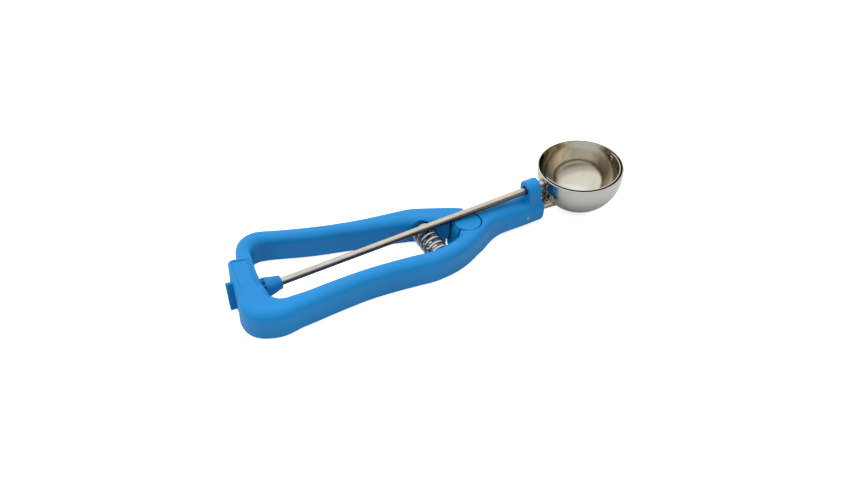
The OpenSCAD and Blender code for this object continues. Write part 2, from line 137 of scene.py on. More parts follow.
def rmax(a, b, r):
    """Intersection with a round edge of radius r."""
    return np.minimum(np.maximum(a, b), -r) + np.hypot(np.maximum(a + r, 0), np.maximum(b + r, 0))


def rmin(a, b, r):
    """Union with a round fillet of radius r."""
    return -rmax(-a, -b, r)


def cut(body, tool, r):
    return rmax(body, -tool, r)


def slab(v, lo, hi):
    return np.maximum(lo - v, v - hi)


def rod_coords(p):
    x, z = p[0] - F(HX), p[2] - F(ROD_Z)
    return F(CT) * x + F(ST) * z, p[1], -F(ST) * x + F(CT) * z


def butt_coords(p):
    x, y = p[0] - F(HX), p[1] - F(HY)
    r = np.hypot(x, y)
    return r, np.degrees(np.arctan2(y, -x))


def sector(r, psi, z, a0, a1, r0, r1, z0, z1):
    k = r * F(math.pi / 180)
    d = np.maximum((psi - a1) * k, (a0 - psi) * k)
    d = np.maximum(d, slab(r, r0, r1))
    return np.maximum(d, slab(z, z0, z1))


def wedge(x, y, a0, a1):
    a0, a1 = math.radians(a0), math.radians(a1)
    d0 = -(math.cos(a0) * y - math.sin(a0) * x)
    d1 = math.cos(a1) * y - math.sin(a1) * x
    return np.maximum(d0, d1)


def smooth_rows(rows, m):
    """Catmull-Rom curve through the rows, m steps between two of them."""
    s = np.array(rows, float)
    out = []
    n = len(s)
    for i in range(n - 1):
        p0, p1, p2, p3 = s[max(i - 1, 0)], s[i], s[i + 1], s[min(i + 2, n - 1)]
        for k in range(m):
            t = k / m
            out.append(0.5 * (2 * p1 + (p2 - p0) * t + (2 * p0 - 5 * p1 + 4 * p2 - p3) * t * t
                              + (3 * p1 - p0 - 3 * p2 + p3) * t ** 3))
    out.append(s[-1])
    return np.array(out)


def polygon_field(poly, X, Y):
    """Signed distance from each place to a closed outline, negative inside."""
    d2 = np.full(X.shape, 1e9, F)
    wn = np.zeros(X.shape, np.int16)
    for a, b in zip(poly, np.roll(poly, -1, 0)):
        ex, ey = F(b[0] - a[0]), F(b[1] - a[1])
        L = ex * ex + ey * ey
        if L < 1e-12:
            continue
        px, py = X - F(a[0]), Y - F(a[1])
        t = np.clip((px * ex + py * ey) / L, 0, 1)
        d2 = np.minimum(d2, (px - t * ex) ** 2 + (py - t * ey) ** 2)
        side = ex * py - ey * px
        up = (a[1] <= Y) & (b[1] > Y) & (side > 0)
        dn = (a[1] > Y) & (b[1] <= Y) & (side < 0)
        wn += up
        wn -= dn
    return np.where(wn != 0, -np.sqrt(d2), np.sqrt(d2))


def blur2(a, sigma):
    """Gaussian blur of a map, sigma in cells, edges held."""
    if sigma < 0.3:
        return a
    n = int(3 * sigma + 1)
    k = np.exp(-0.5 * (np.arange(-n, n + 1) / sigma) ** 2)
    k /= k.sum()
    for ax in (0, 1):
        p = np.pad(a, [(n, n) if i == ax else (0, 0) for i in range(2)], mode="edge")
        out = np.zeros_like(a)
        for i, w in enumerate(k):
            out += F(w) * (p[i:i + a.shape[0]] if ax == 0 else p[:, i:i + a.shape[1]])
        a = out
    return a


class Maps:
    """Several maps over a rectangle of the plane, read with linear interpolation."""

    def __init__(self, lo, hi, g):
        self.lo, self.g = np.array(lo, float), g
        self.n = [int(math.ceil((hi[i] - lo[i]) / g)) + 1 for i in (0, 1)]
        ax = [lo[i] + g * np.arange(self.n[i]) for i in (0, 1)]
        self.X, self.Y = np.meshgrid(ax[0].astype(F), ax[1].astype(F), indexing="ij")
        self.layers = []

    def close(self):
        self.stack = np.stack(self.layers, -1).astype(F)
        del self.X, self.Y

    def at(self, x, y):
        u = np.clip((x - F(self.lo[0])) / F(self.g), 0, self.n[0] - 1.001)
        v = np.clip((y - F(self.lo[1])) / F(self.g), 0, self.n[1] - 1.001)
        i, j = u.astype(np.int32), v.astype(np.int32)
        fu, fv = (u - i)[..., None], (v - j)[..., None]
        s = self.stack
        r = (s[i, j] * (1 - fu) + s[i + 1, j] * fu) * (1 - fv) + (s[i, j + 1] * (1 - fu) + s[i + 1, j + 1] * fu) * fv
        return [r[..., c] for c in range(r.shape[-1])]


def plan_of(rows, lo, hi, g=0.3, soft=0.45, blur=1.3):
    """Outline distance, bottom, top and the two roundings of a moulding swept through rows."""
    s = smooth_rows(rows, 8)
    t = np.gradient(s[:, :2], axis=0)
    t /= np.linalg.norm(t, axis=1)[:, None]
    nrm = np.stack([-t[:, 1], t[:, 0]], 1)
    left, right = s[:, :2] + nrm * s[:, 2:3] / 2, s[:, :2] - nrm * s[:, 2:3] / 2
    maps = Maps(lo, hi, g)
    d = polygon_field(np.concatenate([left, right[::-1]]), maps.X, maps.Y)
    maps.layers.append(blur2(d, soft / g))
    best = np.full(maps.X.shape, 1e9, F)
    vals = [np.zeros(maps.X.shape, F) for _ in range(4)]
    c = s[::3]
    for a, b in zip(c[:-1], c[1:]):
        ex, ey = F(b[0] - a[0]), F(b[1] - a[1])
        px, py = maps.X - F(a[0]), maps.Y - F(a[1])
        u = np.clip((px * ex + py * ey) / (ex * ex + ey * ey), 0, 1)
        q = (px - u * ex) ** 2 + (py - u * ey) ** 2
        near = q < best
        best = np.where(near, q, best)
        for k in range(4):
            v = F(a[3 + k]) + u * F(b[3 + k] - a[3 + k])
            vals[k] = np.where(near, v, vals[k])
    for v in vals:
        maps.layers.append(blur2(v, blur / g))
    maps.close()
    return maps


def moulded(maps, p):
    """A moulding of that outline, with round upper and lower edges."""
    d, z0, z1, rt, rb = maps.at(p[0], p[1])
    return np.maximum(rmax(d, p[2] - z1, rt), rmax(d, z0 - p[2], rb))


# ------------------------------------------------------------------ meshes from distance fields
def field_mesh(name, f, lo, hi, h, faces=None, steps=3):
    """Surface nets on a sparse grid, then every vertex is moved onto the surface, and its normal is the field's own."""
    lo, hi = np.array(lo, float), np.array(hi, float)
    B = 4
    nb = np.ceil((hi - lo) / (h * B)).astype(int) + 1
    ctr = [(lo[i] + h * B * (np.arange(nb[i]) + 0.5) - h * 0.5).astype(F) for i in range(3)]
    gx, gy, gz = np.meshgrid(*ctr, indexing="ij")
    flat = [a.ravel() for a in (gx, gy, gz)]
    coarse = np.concatenate([f([c[i:i + 400000] for c in flat]) for i in range(0, len(flat[0]), 400000)]).reshape(gx.shape)
    phi = np.repeat(np.repeat(np.repeat(np.where(coarse < 0, F(-9), F(9)), B, 0), B, 1), B, 2)
    cell = np.argwhere(np.abs(coarse) < h * B * 1.15 + h)
    off = np.stack(np.meshgrid(*[np.arange(B)] * 3, indexing="ij"), -1).reshape(-1, 3)
    for i in range(0, len(cell), 8000):
        idx = (cell[i:i + 8000, None, :] * B + off[None]).reshape(-1, 3)
        p = [(lo[k] + h * idx[:, k]).astype(F) for k in range(3)]
        phi[idx[:, 0], idx[:, 1], idx[:, 2]] = f(p)
    s = phi < 0
    n = np.array(phi.shape) - 1
    count = np.zeros(n, np.uint8)
    corners = [(a, b, c) for a in (0, 1) for b in (0, 1) for c in (0, 1)]
    for a, b, c in corners:
        count += s[a:a + n[0], b:b + n[1], c:c + n[2]]
    active = (count > 0) & (count < 8)
    ids = np.full(n, -1, np.int32)
    cells = np.argwhere(active)
    ids[active] = np.arange(len(cells))
    acc, cnt = np.zeros((len(cells), 3)), np.zeros(len(cells))
    ci = cells.T
    val = {c: phi[ci[0] + c[0], ci[1] + c[1], ci[2] + c[2]].astype(float) for c in corners}
    for a in corners:
        for k in range(3):
            if a[k]:
                continue
            b = tuple(1 if i == k else a[i] for i in range(3))
            va, vb = val[a], val[b]
            m = (va < 0) != (vb < 0)
            t = va[m] / (va[m] - vb[m])
            pos = np.tile(np.array(a, float), (m.sum(), 1))
            pos[:, k] += t
            acc[m] += pos
            cnt[m] += 1
    v = lo + h * (cells + acc / cnt[:, None])
    quads = []
    for k in range(3):
        i, j = [q for q in range(3) if q != k]
        sl0, sl1 = [slice(1, -1)] * 3, [slice(1, -1)] * 3
        sl0[k], sl1[k] = slice(0, -1), slice(1, None)
        s0, s1 = s[tuple(sl0)], s[tuple(sl1)]
        e = np.argwhere(s0 != s1)
        inside = s0[e[:, 0], e[:, 1], e[:, 2]]
        base = e.copy()
        base[:, i] += 1
        base[:, j] += 1
        q = []
        for di, dj in ((1, 1), (0, 1), (0, 0), (1, 0)):
            c = base.copy()
            c[:, i] -= di
            c[:, j] -= dj
            q.append(ids[c[:, 0], c[:, 1], c[:, 2]])
        q = np.stack(q, 1)
        flip = inside if k != 1 else ~inside
        q[~flip] = q[~flip][:, ::-1]
        quads.append(q)
    quads = np.concatenate(quads)
    quads = quads[(quads >= 0).all(1)]
    me = bpy.data.meshes.new(name)
    v = settle(f, v, steps, h)
    me.from_pydata((v * 0.001).tolist(), [], quads.tolist())
    me.update()
    o = bpy.data.objects.new(name, me)
    bpy.context.scene.collection.objects.link(o)
    if faces and len(quads) * 2 > faces:
        m = o.modifiers.new("thin", "DECIMATE")
        m.ratio = faces / (len(quads) * 2)
        dg = bpy.context.evaluated_depsgraph_get()
        new = bpy.data.meshes.new_from_object(o.evaluated_get(dg), depsgraph=dg)
        o.modifiers.clear()
        o.data = new
        bpy.data.meshes.remove(me)
        me = new
        me.name = name
    v = np.zeros(len(me.vertices) * 3, F)
    me.vertices.foreach_get("co", v)
    v = settle(f, v.reshape(-1, 3).astype(float) * 1000, 1, h)
    me.vertices.foreach_set("co", (v * 0.001).astype(F).ravel())
    field_normals(me, f, v)
    me.update()
    return o


def gradient(f, v, e=0.04):
    p = [v[:, k].astype(F) for k in range(3)]
    base = f(p)
    g = np.zeros((len(v), 3))
    for k in range(3):
        a, b = list(p), list(p)
        a[k], b[k] = p[k] + F(e), p[k] - F(e)
        g[:, k] = (f(a) - f(b)) / (2 * e)
    return base, g


def settle(f, v, steps, h):
    for _ in range(steps):
        d, g = gradient(f, v)
        L = np.maximum((g * g).sum(1), 0.25)
        v = v - g * np.clip(d / L, -0.5 * h, 0.5 * h)[:, None]
    return v


def field_normals(me, f, v, e=0.06):
    _, g = gradient(f, v, e)
    L = np.linalg.norm(g, axis=1)
    own = np.zeros(len(me.vertices) * 3, F)
    me.vertices.foreach_get("normal", own)
    own = own.reshape(-1, 3).astype(float)
    g = np.where(L[:, None] > 0.2, g / np.maximum(L, 1e-9)[:, None], own)
    bad = (g * own).sum(1) < 0.3
    g[bad] = own[bad]
    for poly in (True,):
        me.shade_smooth()
    me.normals_split_custom_set_from_vertices(g.tolist())


# ------------------------------------------------------------------ swept and turned meshes
def new_object(name, verts, faces, smooth_angle=35.0):
    me = bpy.data.meshes.new(name)
    me.from_pydata((np.asarray(verts, float) * 0.001).tolist(), [], [list(map(int, f)) for f in faces])
    me.update()
    me.shade_smooth()
    if smooth_angle:
        me.set_sharp_from_angle(angle=math.radians(smooth_angle))
    o = bpy.data.objects.new(name, me)
    bpy.context.scene.collection.objects.link(o)
    return o


def grid_faces(rows, cols, close_cols=True):
    f = []
    for i in range(rows - 1):
        for j in range(cols if close_cols else cols - 1):
            f.append([i * cols + j, i * cols + (j + 1) % cols, (i + 1) * cols + (j + 1) % cols, (i + 1) * cols + j])
    return f


def turned(name, profile, place, seg=64, smooth_angle=35.0, closed=False):
    """A shape turned about +X: profile rows are [x along the axis, radius]; rows of radius 0 close it."""
    verts, faces, rows = [], [], []
    for x, r in profile:
        if r < 1e-6:
            rows.append([len(verts)])
            verts.append((x, 0, 0))
        else:
            rows.append(list(range(len(verts), len(verts) + seg)))
            for j in range(seg):
                a = 2 * math.pi * j / seg
                verts.append((x, r * math.cos(a), r * math.sin(a)))
    pairs = list(zip(rows[:-1], rows[1:]))
    if closed:
        pairs.append((rows[-1], rows[0]))
    for a, b in pairs:
        for j in range(seg):
            k = (j + 1) % seg
            if len(a) == 1 and len(b) == 1:
                continue
            if len(a) == 1:
                faces.append([a[0], b[k], b[j]])
            elif len(b) == 1:
                faces.append([a[j], a[k], b[0]])
            else:
                faces.append([a[j], a[k], b[k], b[j]])
    o = new_object(name, [place(v) for v in verts], faces, smooth_angle)
    return fix_normals(o, smooth_angle)


def fix_normals(o, smooth_angle=35.0):
    import bmesh
    bm = bmesh.new()
    bm.from_mesh(o.data)
    bmesh.ops.recalc_face_normals(bm, faces=bm.faces)
    bm.to_mesh(o.data)
    bm.free()
    o.data.shade_smooth()
    if smooth_angle:
        o.data.set_sharp_from_angle(angle=math.radians(smooth_angle))
    return o


def chamfered(x0, x1, r, c, bore=0.0, steps=4):
    """Profile of a plain pin or disc with round edges of radius c, and a bore if there is one."""
    arc = [(c - c * math.cos(math.pi / 2 * k / steps), c * math.sin(math.pi / 2 * k / steps)) for k in range(steps + 1)]
    rows = [[x0 + a, r - c + b] for a, b in arc] + [[x1 - a, r - c + b] for a, b in reversed(arc)]
    if bore:
        return [[x0, bore]] + rows + [[x1, bore], [x0, bore]]
    return [[x0, 0]] + rows + [[x1, 0]]


def from_rod(v):
    s, y, z = v
    return (HX + CT * s - ST * z, y, ROD_Z + ST * s + CT * z)


def from_bowl(v):
    return from_rod((v[0] + REACH, v[1], v[2]))


# ------------------------------------------------------------------ the two handles
def blade(y, z):
    """Section of the stop block's leaning blade, with slightly round edges."""
    # along the blade's lean, and across it
    L = math.hypot(4.7, 13.6)
    c, s_ = F(13.6 / L), F(4.7 / L)
    across = c * (y - F(2.9 - 0.95)) - s_ * (z - F(7.6))
    return rmax(np.abs(across) - F(0.9 * 13.6 / L), slab(z, F(0.8), F(14.4)), 0.3)


def fixed_handle_field(maps):
    def f(p):
        x, y, z = p
        r, psi = butt_coords(p)
        s, _, q = rod_coords(p)
        b = moulded(maps, p)
        # end of the box at the butt, and the front of the nose
        end = np.where((x < -100), (psi - 10) * r * F(math.pi / 180), F(-50))
        b = rmax(b, end, 0.6)
        b = rmax(b, x - F(23), 1.7)
        # wall round the hinge pocket
        ring = rmax(r - F(10.6), z - F(15.3), 2.2)
        ring = rmax(ring, F(0.1) - z, 1.2)
        b = smin(b, ring, 2.2)
        # lug that carries the rod: an arch with straight flanks
        side = np.where(q > 0, np.hypot(y, q), np.abs(y)) - F(5.5) + np.clip(-q, 0, 8) * F(0.02)
        lug = rmax(side, slab(s, F(39.2), F(47.1)), 0.75)
        lug = np.maximum(lug, F(7) - z)
        b = smin(b, lug, 0.9)
        # ledge along the inner edge of the platform, and its bare sunk panel
        b = cut(b, sector(r, psi, z, F(-2.6), F(14), F(110), F(119.6) + np.clip(-1 - psi, 0, 2) * F(-1.5), F(15.95), F(22)), 0.35)
        panel = sector(r, psi, z, F(-1.9), F(9.25), F(120.7), F(128.6), F(16.42), F(22))
        b = cut(b, panel, 0.14)
        # channel of the toothed bar, its open end, the slot of the stop block and the pinion's hole
        b = cut(b, sector(r, psi, z, F(-7.4), F(14), F(CAV0), F(CAV1), F(1.2), F(14.85)), 0.25)
        b = cut(b, sector(r, psi, z, F(4.2), F(14), F(110), F(CAV0 + 1), F(1.2), F(14.85)), 0.3)
        b = cut(b, sector(r, psi, z, F(8.7), F(14), F(110), F(CAV1 + 0.1), F(0.75), F(15.3)), 0.2)
        b = cut(b, np.maximum(blade(y, z) - F(0.05), x - F(-155.9)), 0.12)
        hole = np.maximum(np.hypot(y, q) - F(5.6), slab(s, F(-125.4), F(-113)))
        b = cut(b, hole, 0.3)
        # pocket of the knuckle, and the way out for the moving arm
        hx, hy = x - F(HX), y - F(HY)
        pocket = np.maximum(r - F(7.9), F(3) - z)
        way = np.maximum(np.maximum(wedge(hx, hy, 70, 200), r - F(30)), F(3) - z)
        side2 = np.maximum(np.maximum(wedge(hx, hy, 190, 215), r - F(11.5)), F(3) - z)
        pocket = np.minimum(np.minimum(pocket, way), side2)
        low = np.maximum(np.maximum(wedge(hx, hy, 70, 200), F(10.7) - r), r - F(31))
        pocket = np.minimum(pocket, low)
        b = cut(b, pocket, 0.45)
        # hinge hole from below
        b = cut(b, np.maximum(r - F(2.45), z - F(6)), 0.15)
        b = cut(b, np.maximum(r - F(4.3), z - F(1.5)), 0.2)
        # rod bearing with its counterbore
        b = cut(b, np.maximum(np.hypot(y, q) - F(2.1), slab(s, F(37), F(60))), 0.15)
        b = cut(b, np.maximum(np.hypot(y, q) - F(2.72), slab(s, F(37), F(40.7))), 0.3)
        # shank bore and cross-pin
        b = cut(b, np.maximum(np.hypot(y, z - F(7.6)) - F(3.34), slab(x, F(6), F(40))), 0.25)
        b = cut(b, np.maximum(np.hypot(x - F(11.8), z - F(7.0)) - F(1.03), np.abs(y) - F(12)), 0.12)
        # spring seat with its spigot
        sd = np.hypot(x - F(SPRING["x"]), z - F(SPRING["z"]))
        b = cut(b, np.maximum(sd - F(6.75), slab(y, F(-16.8), F(-4))), 0.3)
        spig = rmax(sd - F(3.3), slab(y, F(-19), F(-12.2)), 0.5)
        b = np.minimum(b, spig)
        # two small dimples of the mould on the flank by the corner
        for px, py, pz in ((-145.9, -30.0, 10.1), (-145.2, -29.3, 14.9)):
            b = cut(b, np.sqrt((x - F(px)) ** 2 + (y - F(py)) ** 2 + (z - F(pz)) ** 2) - F(0.95), 0.3)
        # the underside is flat
        return np.maximum(b, -z)
    return f


def moving_handle_field(maps):
    def f(p):
        x, y, z = p
        r, psi = butt_coords(p)
        b = moulded(maps, p)
        end = np.where((x < -100), (F(10.6) - psi) * r * F(math.pi / 180), F(-50))
        b = np.maximum(b, end)
        hx, hy = x - F(HX), y - F(HY)
        b = cut(b, np.maximum(wedge(hx, hy, -60, 74), r - F(20)), 0.2)
        b = cut(b, np.maximum(r - F(11.2), z - F(3.3)), 0.3)
        # knuckle with faint turned rings on its top
        top = F(15.78) + F(0.05) * np.cos(r * F(2 * math.pi / 1.55)) * np.clip((F(6.2) - r) / F(1.2), 0, 1) - F(0.05)
        kn = rmax(r - F(7.4), z - top, 0.55)
        kn = rmax(kn, F(3.1) - z, 0.3)
        gap = np.maximum(slab(r, F(7.25), F(7.75)), F(15.1) - z)
        b = cut(b, np.maximum(gap, -hx - F(9)), 0.2)
        # slot beside the barrel on the arm's inner side
        slot = np.maximum(slab(r, F(8.5), F(9.75)), wedge(hx, hy, 135, 172))
        b = cut(b, slot, 0.2)
        skirt = (r - F(8.75) - np.clip(F(12) - z, 0, 9) * F(0.055)) * F(0.998)
        skirt = rmax(skirt, (r - F(8.75) + (z - F(12)) * F(0.42)) * F(0.92), 0.25)
        skirt = np.maximum(np.maximum(skirt, slab(z, F(3.3), F(15.2))), wedge(hx, hy, 96, 206))
        b = rmin(b, rmin(kn, skirt, 0.15), 0.25)
        # toothed bar
        web = sector(r, psi, z, F(-1.2), F(11.4), F(123), F(124.9), F(1.8), F(14.2))
        web = np.minimum(web, sector(r, psi, z, F(-1.2), F(-0.35), F(124), F(125.4), F(4.5), F(11)))
        flange = sector(r, psi, z, F(-1.2), F(11.4), F(CAV0 + 0.4), F(124.5), F(RACK_LOW), F(14.2))
        bar = rmin(web, flange, 0.3)
        for k in range(-1, 7):
            a = math.radians(-2.05 - k * RACK_STEP)
            c, s_ = math.cos(-a), math.sin(-a)
            u, v = c * hx - s_ * hy + LEVER_R, s_ * hx + c * hy
            w_ = z - F(AXIS_Z_BUTT + PITCH_R)
            a2 = math.radians(-2.05)
            c2, s2 = math.cos(a2), math.sin(a2)
            u, v = c2 * u - s2 * v, s2 * u + c2 * v
            zz = -F(ST) * u + F(CT) * w_
            kk = math.tan(math.radians(24))
            half = MODULE * math.pi / 4 + BACKLASH - kk * zz
            half = np.where(zz < -0.5 * MODULE - 1.1, MODULE * math.pi / 4 + BACKLASH + kk * (0.5 * MODULE + 1.1), half)
            gap = np.maximum(np.abs(v) - half, zz - F(1.15 * MODULE))
            gap = np.maximum(gap, F(-1.6 - MODULE * 0.5) - zz)
            gap = np.maximum(gap, np.abs(u) - F(4))
            bar = cut(bar, gap, 0.12)
        b = rmin(b, bar, 0.3)
        # hinge screw, and the relief under the rod over the whole swing
        b = cut(b, np.maximum(r - F(2.42), z - F(12.6)), 0.12)
        for a in (0.0, 2.8, 5.6):
            ca, sa = F(math.cos(math.radians(a))), F(math.sin(math.radians(a)))
            xr, yr = ca * hx - sa * hy, sa * hx + ca * hy + F(HY)
            rq = -F(ST) * xr + F(CT) * (z - F(ROD_Z))
            b = cut(b, np.maximum(np.hypot(yr, rq) - F(2.35), slab(xr, F(-24), F(13))), 0.3)
        sd = np.hypot(x - F(SPRING["x"]), z - F(SPRING["z"]))
        b = cut(b, np.maximum(sd - F(6.75), slab(y, F(-4), F(8.15))), 0.3)
        spig = rmax(sd - F(3.3), slab(y, F(5.7), F(12)), 0.5)
        return np.minimum(b, spig)
    return f


H1 = 0.34
plan_near = plan_of(NEAR, (-168, -38), (42, 20))
plan_far = plan_of(FAR, (-158, -14), (-12, 42))
fixed = field_mesh("fixed_handle_moulding", fixed_handle_field(plan_near), (-164, -35, -1.2), (25, 16, 26.5), H1, 120000)
moving = field_mesh("moving_handle_moulding", moving_handle_field(plan_far), (-156, -13.5, -1.2), (-17, 40, 17.5), H1, 100000)

# ------------------------------------------------------------------ stop block and pinion


def stop_field(p):
    x, y, z = p
    b = rmax(blade(y, z), slab(x, F(-160.7), F(-155.9)), 0.3)
    tip = np.maximum(np.maximum(slab(x, F(-156.45), F(-151.52)), slab(y, F(-4.95), F(2.45))), slab(z, F(5), F(10.5)))
    return np.minimum(b, tip)


stop = field_mesh("stop_block_moulding", stop_field, (-162, -6.5, -0.5), (-150, 6.8, 15.8), 0.26, 24000)


def gear_outline():
    tip, root = PITCH_R + MODULE - 0.05, PITCH_R - 1.15 * MODULE
    half = 90 / TEETH
    rows = [[root, -1.05], [root + 0.35, -0.86], [PITCH_R, -0.5], [tip - 0.35, -0.27], [tip, -0.16],
            [tip, 0.16], [tip - 0.35, 0.27], [PITCH_R, 0.5], [root + 0.35, 0.86], [root, 1.05]]
    out = []
    for i in range(TEETH):
        for r, t in rows:
            a = math.radians(360 * i / TEETH + 90 + t * (2 * half - 3))
            out.append((r * math.cos(a), r * math.sin(a)))
    return np.array(out)


gear = Maps((-7, -7), (7, 7), 0.05)
gear.layers.append(blur2(polygon_field(gear_outline(), gear.X, gear.Y), 1.6))
gear.close()


def pinion_field(p):
    s, y, q = rod_coords(p)
    # the 2-D gear's X runs along +Y and its Y along +Z after the CAD's turns
    (d,) = gear.at(y, q)
    g = rmax(d, slab(s, F(-122.4), F(-115.5)), 0.18)
    rad = np.hypot(y, q)
    t = np.clip((s + F(115.6)) / F(8.6), 0, 1)
    cone = (rad - (F(5.44) + t * F(3.45 - 5.44))) * F(0.975)
    cone = rmax(cone, slab(s, F(-115.6), F(-107.0)), 0.35)
    b = rmin(g, cone, 0.2)
    b = cut(b, np.maximum(rad - F(2.03), slab(s, F(-124), F(-100))), 0.12)
    pin = np.maximum(np.hypot(s + F(111.5), y) - F(0.78), q - F(2.6))
    return cut(b, pin, 0.08)


pinion = field_mesh("pinion_moulding", pinion_field, (-150.5, -6.5, 2.0), (-131.5, 6.5, 16.5), 0.17, 60000)

# ------------------------------------------------------------------ steel pieces
RH = REACH - BAND_R
rod_profile = [[-122.4, 0]] + [[-122.4 + 0.3 * (1 - math.cos(a)), 1.7 + 0.3 * math.sin(a)] for a in np.linspace(0, math.pi / 2, 5)]
rod_profile += [[s, 2.0] for s in np.linspace(-121.9, RH - 0.35, 60)]
rod_profile += [[RH - 0.3, 2.0], [RH - 0.06, 1.85], [RH - 0.03, 1.6], [RH - 0.03, 1.3], [RH + 1.42, 1.3], [RH + 1.58, 1.15], [RH + 1.64, 0.9], [RH + 1.64, 0]]
rod = turned("scraper_rod_steel", rod_profile, from_rod, 48)
rod_pin = turned("pinion_pin_steel", chamfered(-4.2, 2.5, 0.75, 0.15), lambda v: from_rod((-111.5 + v[1], v[2], v[0])), 32)
near_rivet = turned("near_tab_collar", [[0.14, 1.32], [0.14, 2.2], [0.22, 2.3], [0.46, 2.3], [0.56, 2.24], [0.96, 1.8], [1.04, 1.68], [1.04, 1.32], [0.14, 1.32]],
                    lambda v: from_bowl((v[0] - BAND_R + BAND_T, v[1], v[2])), 48)
RB = BAND_R - BAND_T - 0.2


def dome(x, r, h, n=7):
    """Rows of a low round head of radius r and height h that rises toward -X."""
    return [[x - h * math.cos(a), r * math.sin(a)] for a in np.linspace(0, math.pi / 2, n)]


far_rivet = turned("far_pivot_rivet_steel",
                   dome(RB - 0.3, 1.85, 0.5) + [[RB - 0.12, 1.93], [RB, 1.85], [RB, 1.45], [BOWL_R + 0.12, 1.45], [BOWL_R + 0.12, 2.4], [BOWL_R + 0.22, 2.5]]
                   + [[BOWL_R + 0.37 + 0.6 * math.sin(a), 2.5 * math.cos(a)] for a in np.linspace(0, math.pi / 2, 7)],
                   from_bowl, 48)
washer = turned("pivot_washer_steel", chamfered(BAND_R + 0.08, BAND_R + 0.58, 2.6, 0.12, 1.47), from_bowl, 48)
eyelet = turned("rod_eyelet_steel",
                [[-BOWL_R - 0.75, 2.06], [-BOWL_R - 0.75, 3.3], [-BOWL_R - 0.68, 3.44], [-BOWL_R - 0.52, 3.5], [-BOWL_R - 0.2, 3.5], [-BOWL_R - 0.15, 3.4],
                 [-BOWL_R - 0.15, 2.7], [-BOWL_R + 1.3, 2.7], [-BOWL_R + 1.4, 2.6], [-BOWL_R + 1.4, 2.06], [-BOWL_R - 0.75, 2.06]], from_bowl, 48)


def bowl_field(p):
    """p is in the bowl's own frame."""
    x, y, z = p
    rho = np.hypot(x, y)
    mid = BOWL_R - WALL / 2
    d = np.where(z < 0, np.abs(np.sqrt(rho * rho + z * z) - F(mid)), np.where(z < 3.0, np.abs(rho - F(mid)), np.hypot(rho - F(mid), z - F(3.0))))
    return d - F(WALL / 2)


def make_bowl():
    seg = 160
    mid, t = BOWL_R - WALL / 2, WALL / 2
    inner = [(mid - t, 3.0)] + [(mid - t, z) for z in (2.2, 1.4, 0.7)] + \
            [((mid - t) * math.cos(a), -(mid - t) * math.sin(a)) for a in np.linspace(0, math.pi / 2, 46)]
    outer = [(mid + t, z) for z in (3.0, 2.2, 1.4, 0.7)] + \
            [((mid + t) * math.cos(a), -(mid + t) * math.sin(a)) for a in np.linspace(0, math.pi / 2, 46)]
    rim = [(mid + t * math.cos(a), 3.0 + t * math.sin(a)) for a in np.linspace(0, math.pi, 9)][1:-1]
    rows = outer[::-1] + rim + inner
    verts, faces, idx = [], [], []
    for r, z in rows:
        if r < 1e-6:
            idx.append([len(verts)])
            verts.append((0, 0, z))
        else:
            idx.append(list(range(len(verts), len(verts) + seg)))
            for j in range(seg):
                a = 2 * math.pi * (j + 0.5) / seg
                verts.append((r * math.cos(a), r * math.sin(a), z))
    for a, b in zip(idx[:-1], idx[1:]):
        for j in range(seg):
            k = (j + 1) % seg
            if len(a) == 1:
                faces.append([a[0], b[j], b[k]])
            elif len(b) == 1:
                faces.append([a[j], b[0], a[k]])
            else:
                faces.append([a[j], b[j], b[k], a[k]])
    o = new_object("bowl_spun", verts, faces, 0)
    fix_normals(o, 0)
    tools = []
    for x, r in ((-BOWL_R, 2.72), (BOWL_R, 1.47)):
        t_ = turned("tool", [[x - 3, 0], [x - 3, r], [x + 3, r], [x + 3, 0]], lambda v: v, 48)
        m = o.modifiers.new("hole", "BOOLEAN")
        m.operation, m.solver, m.object = "DIFFERENCE", "EXACT", t_
        tools.append(t_)
    dg = bpy.context.evaluated_depsgraph_get()
    me = bpy.data.meshes.new_from_object(o.evaluated_get(dg), depsgraph=dg)
    o.modifiers.clear()
    o.data = me
    for t_ in tools:
        bpy.data.objects.remove(t_)
    v = np.zeros(len(me.vertices) * 3, F)
    me.vertices.foreach_get("co", v)
    v = v.reshape(-1, 3).astype(float) * 1000
    _, g = gradient(bowl_field, v, 0.01)
    L = np.linalg.norm(g, axis=1)
    # on the walls the normal is the surface's own
    rho = np.hypot(v[:, 0], v[:, 1])
    rad = np.where(v[:, 2] < 0, np.sqrt(rho ** 2 + v[:, 2] ** 2), rho)
    sign = np.where(rad > BOWL_R - WALL / 2, 1.0, -1.0)
    g = g / np.maximum(L, 1e-9)[:, None]
    flat = np.stack([v[:, 0], v[:, 1], np.where(v[:, 2] < 0, v[:, 2], 0)], 1)
    flat = flat / np.linalg.norm(flat, axis=1)[:, None] * sign[:, None]
    n = np.where((v[:, 2] < 2.99)[:, None], flat, g)
    me.shade_smooth()
    q = np.array([from_bowl(tuple(a)) for a in v])
    me.vertices.foreach_set("co", (q * 0.001).astype(F).ravel())
    n = np.stack([CT * n[:, 0] - ST * n[:, 2], n[:, 1], ST * n[:, 0] + CT * n[:, 2]], 1)
    me.normals_split_custom_set_from_vertices(n.tolist())
    me.update()
    return o


bowl = make_bowl()


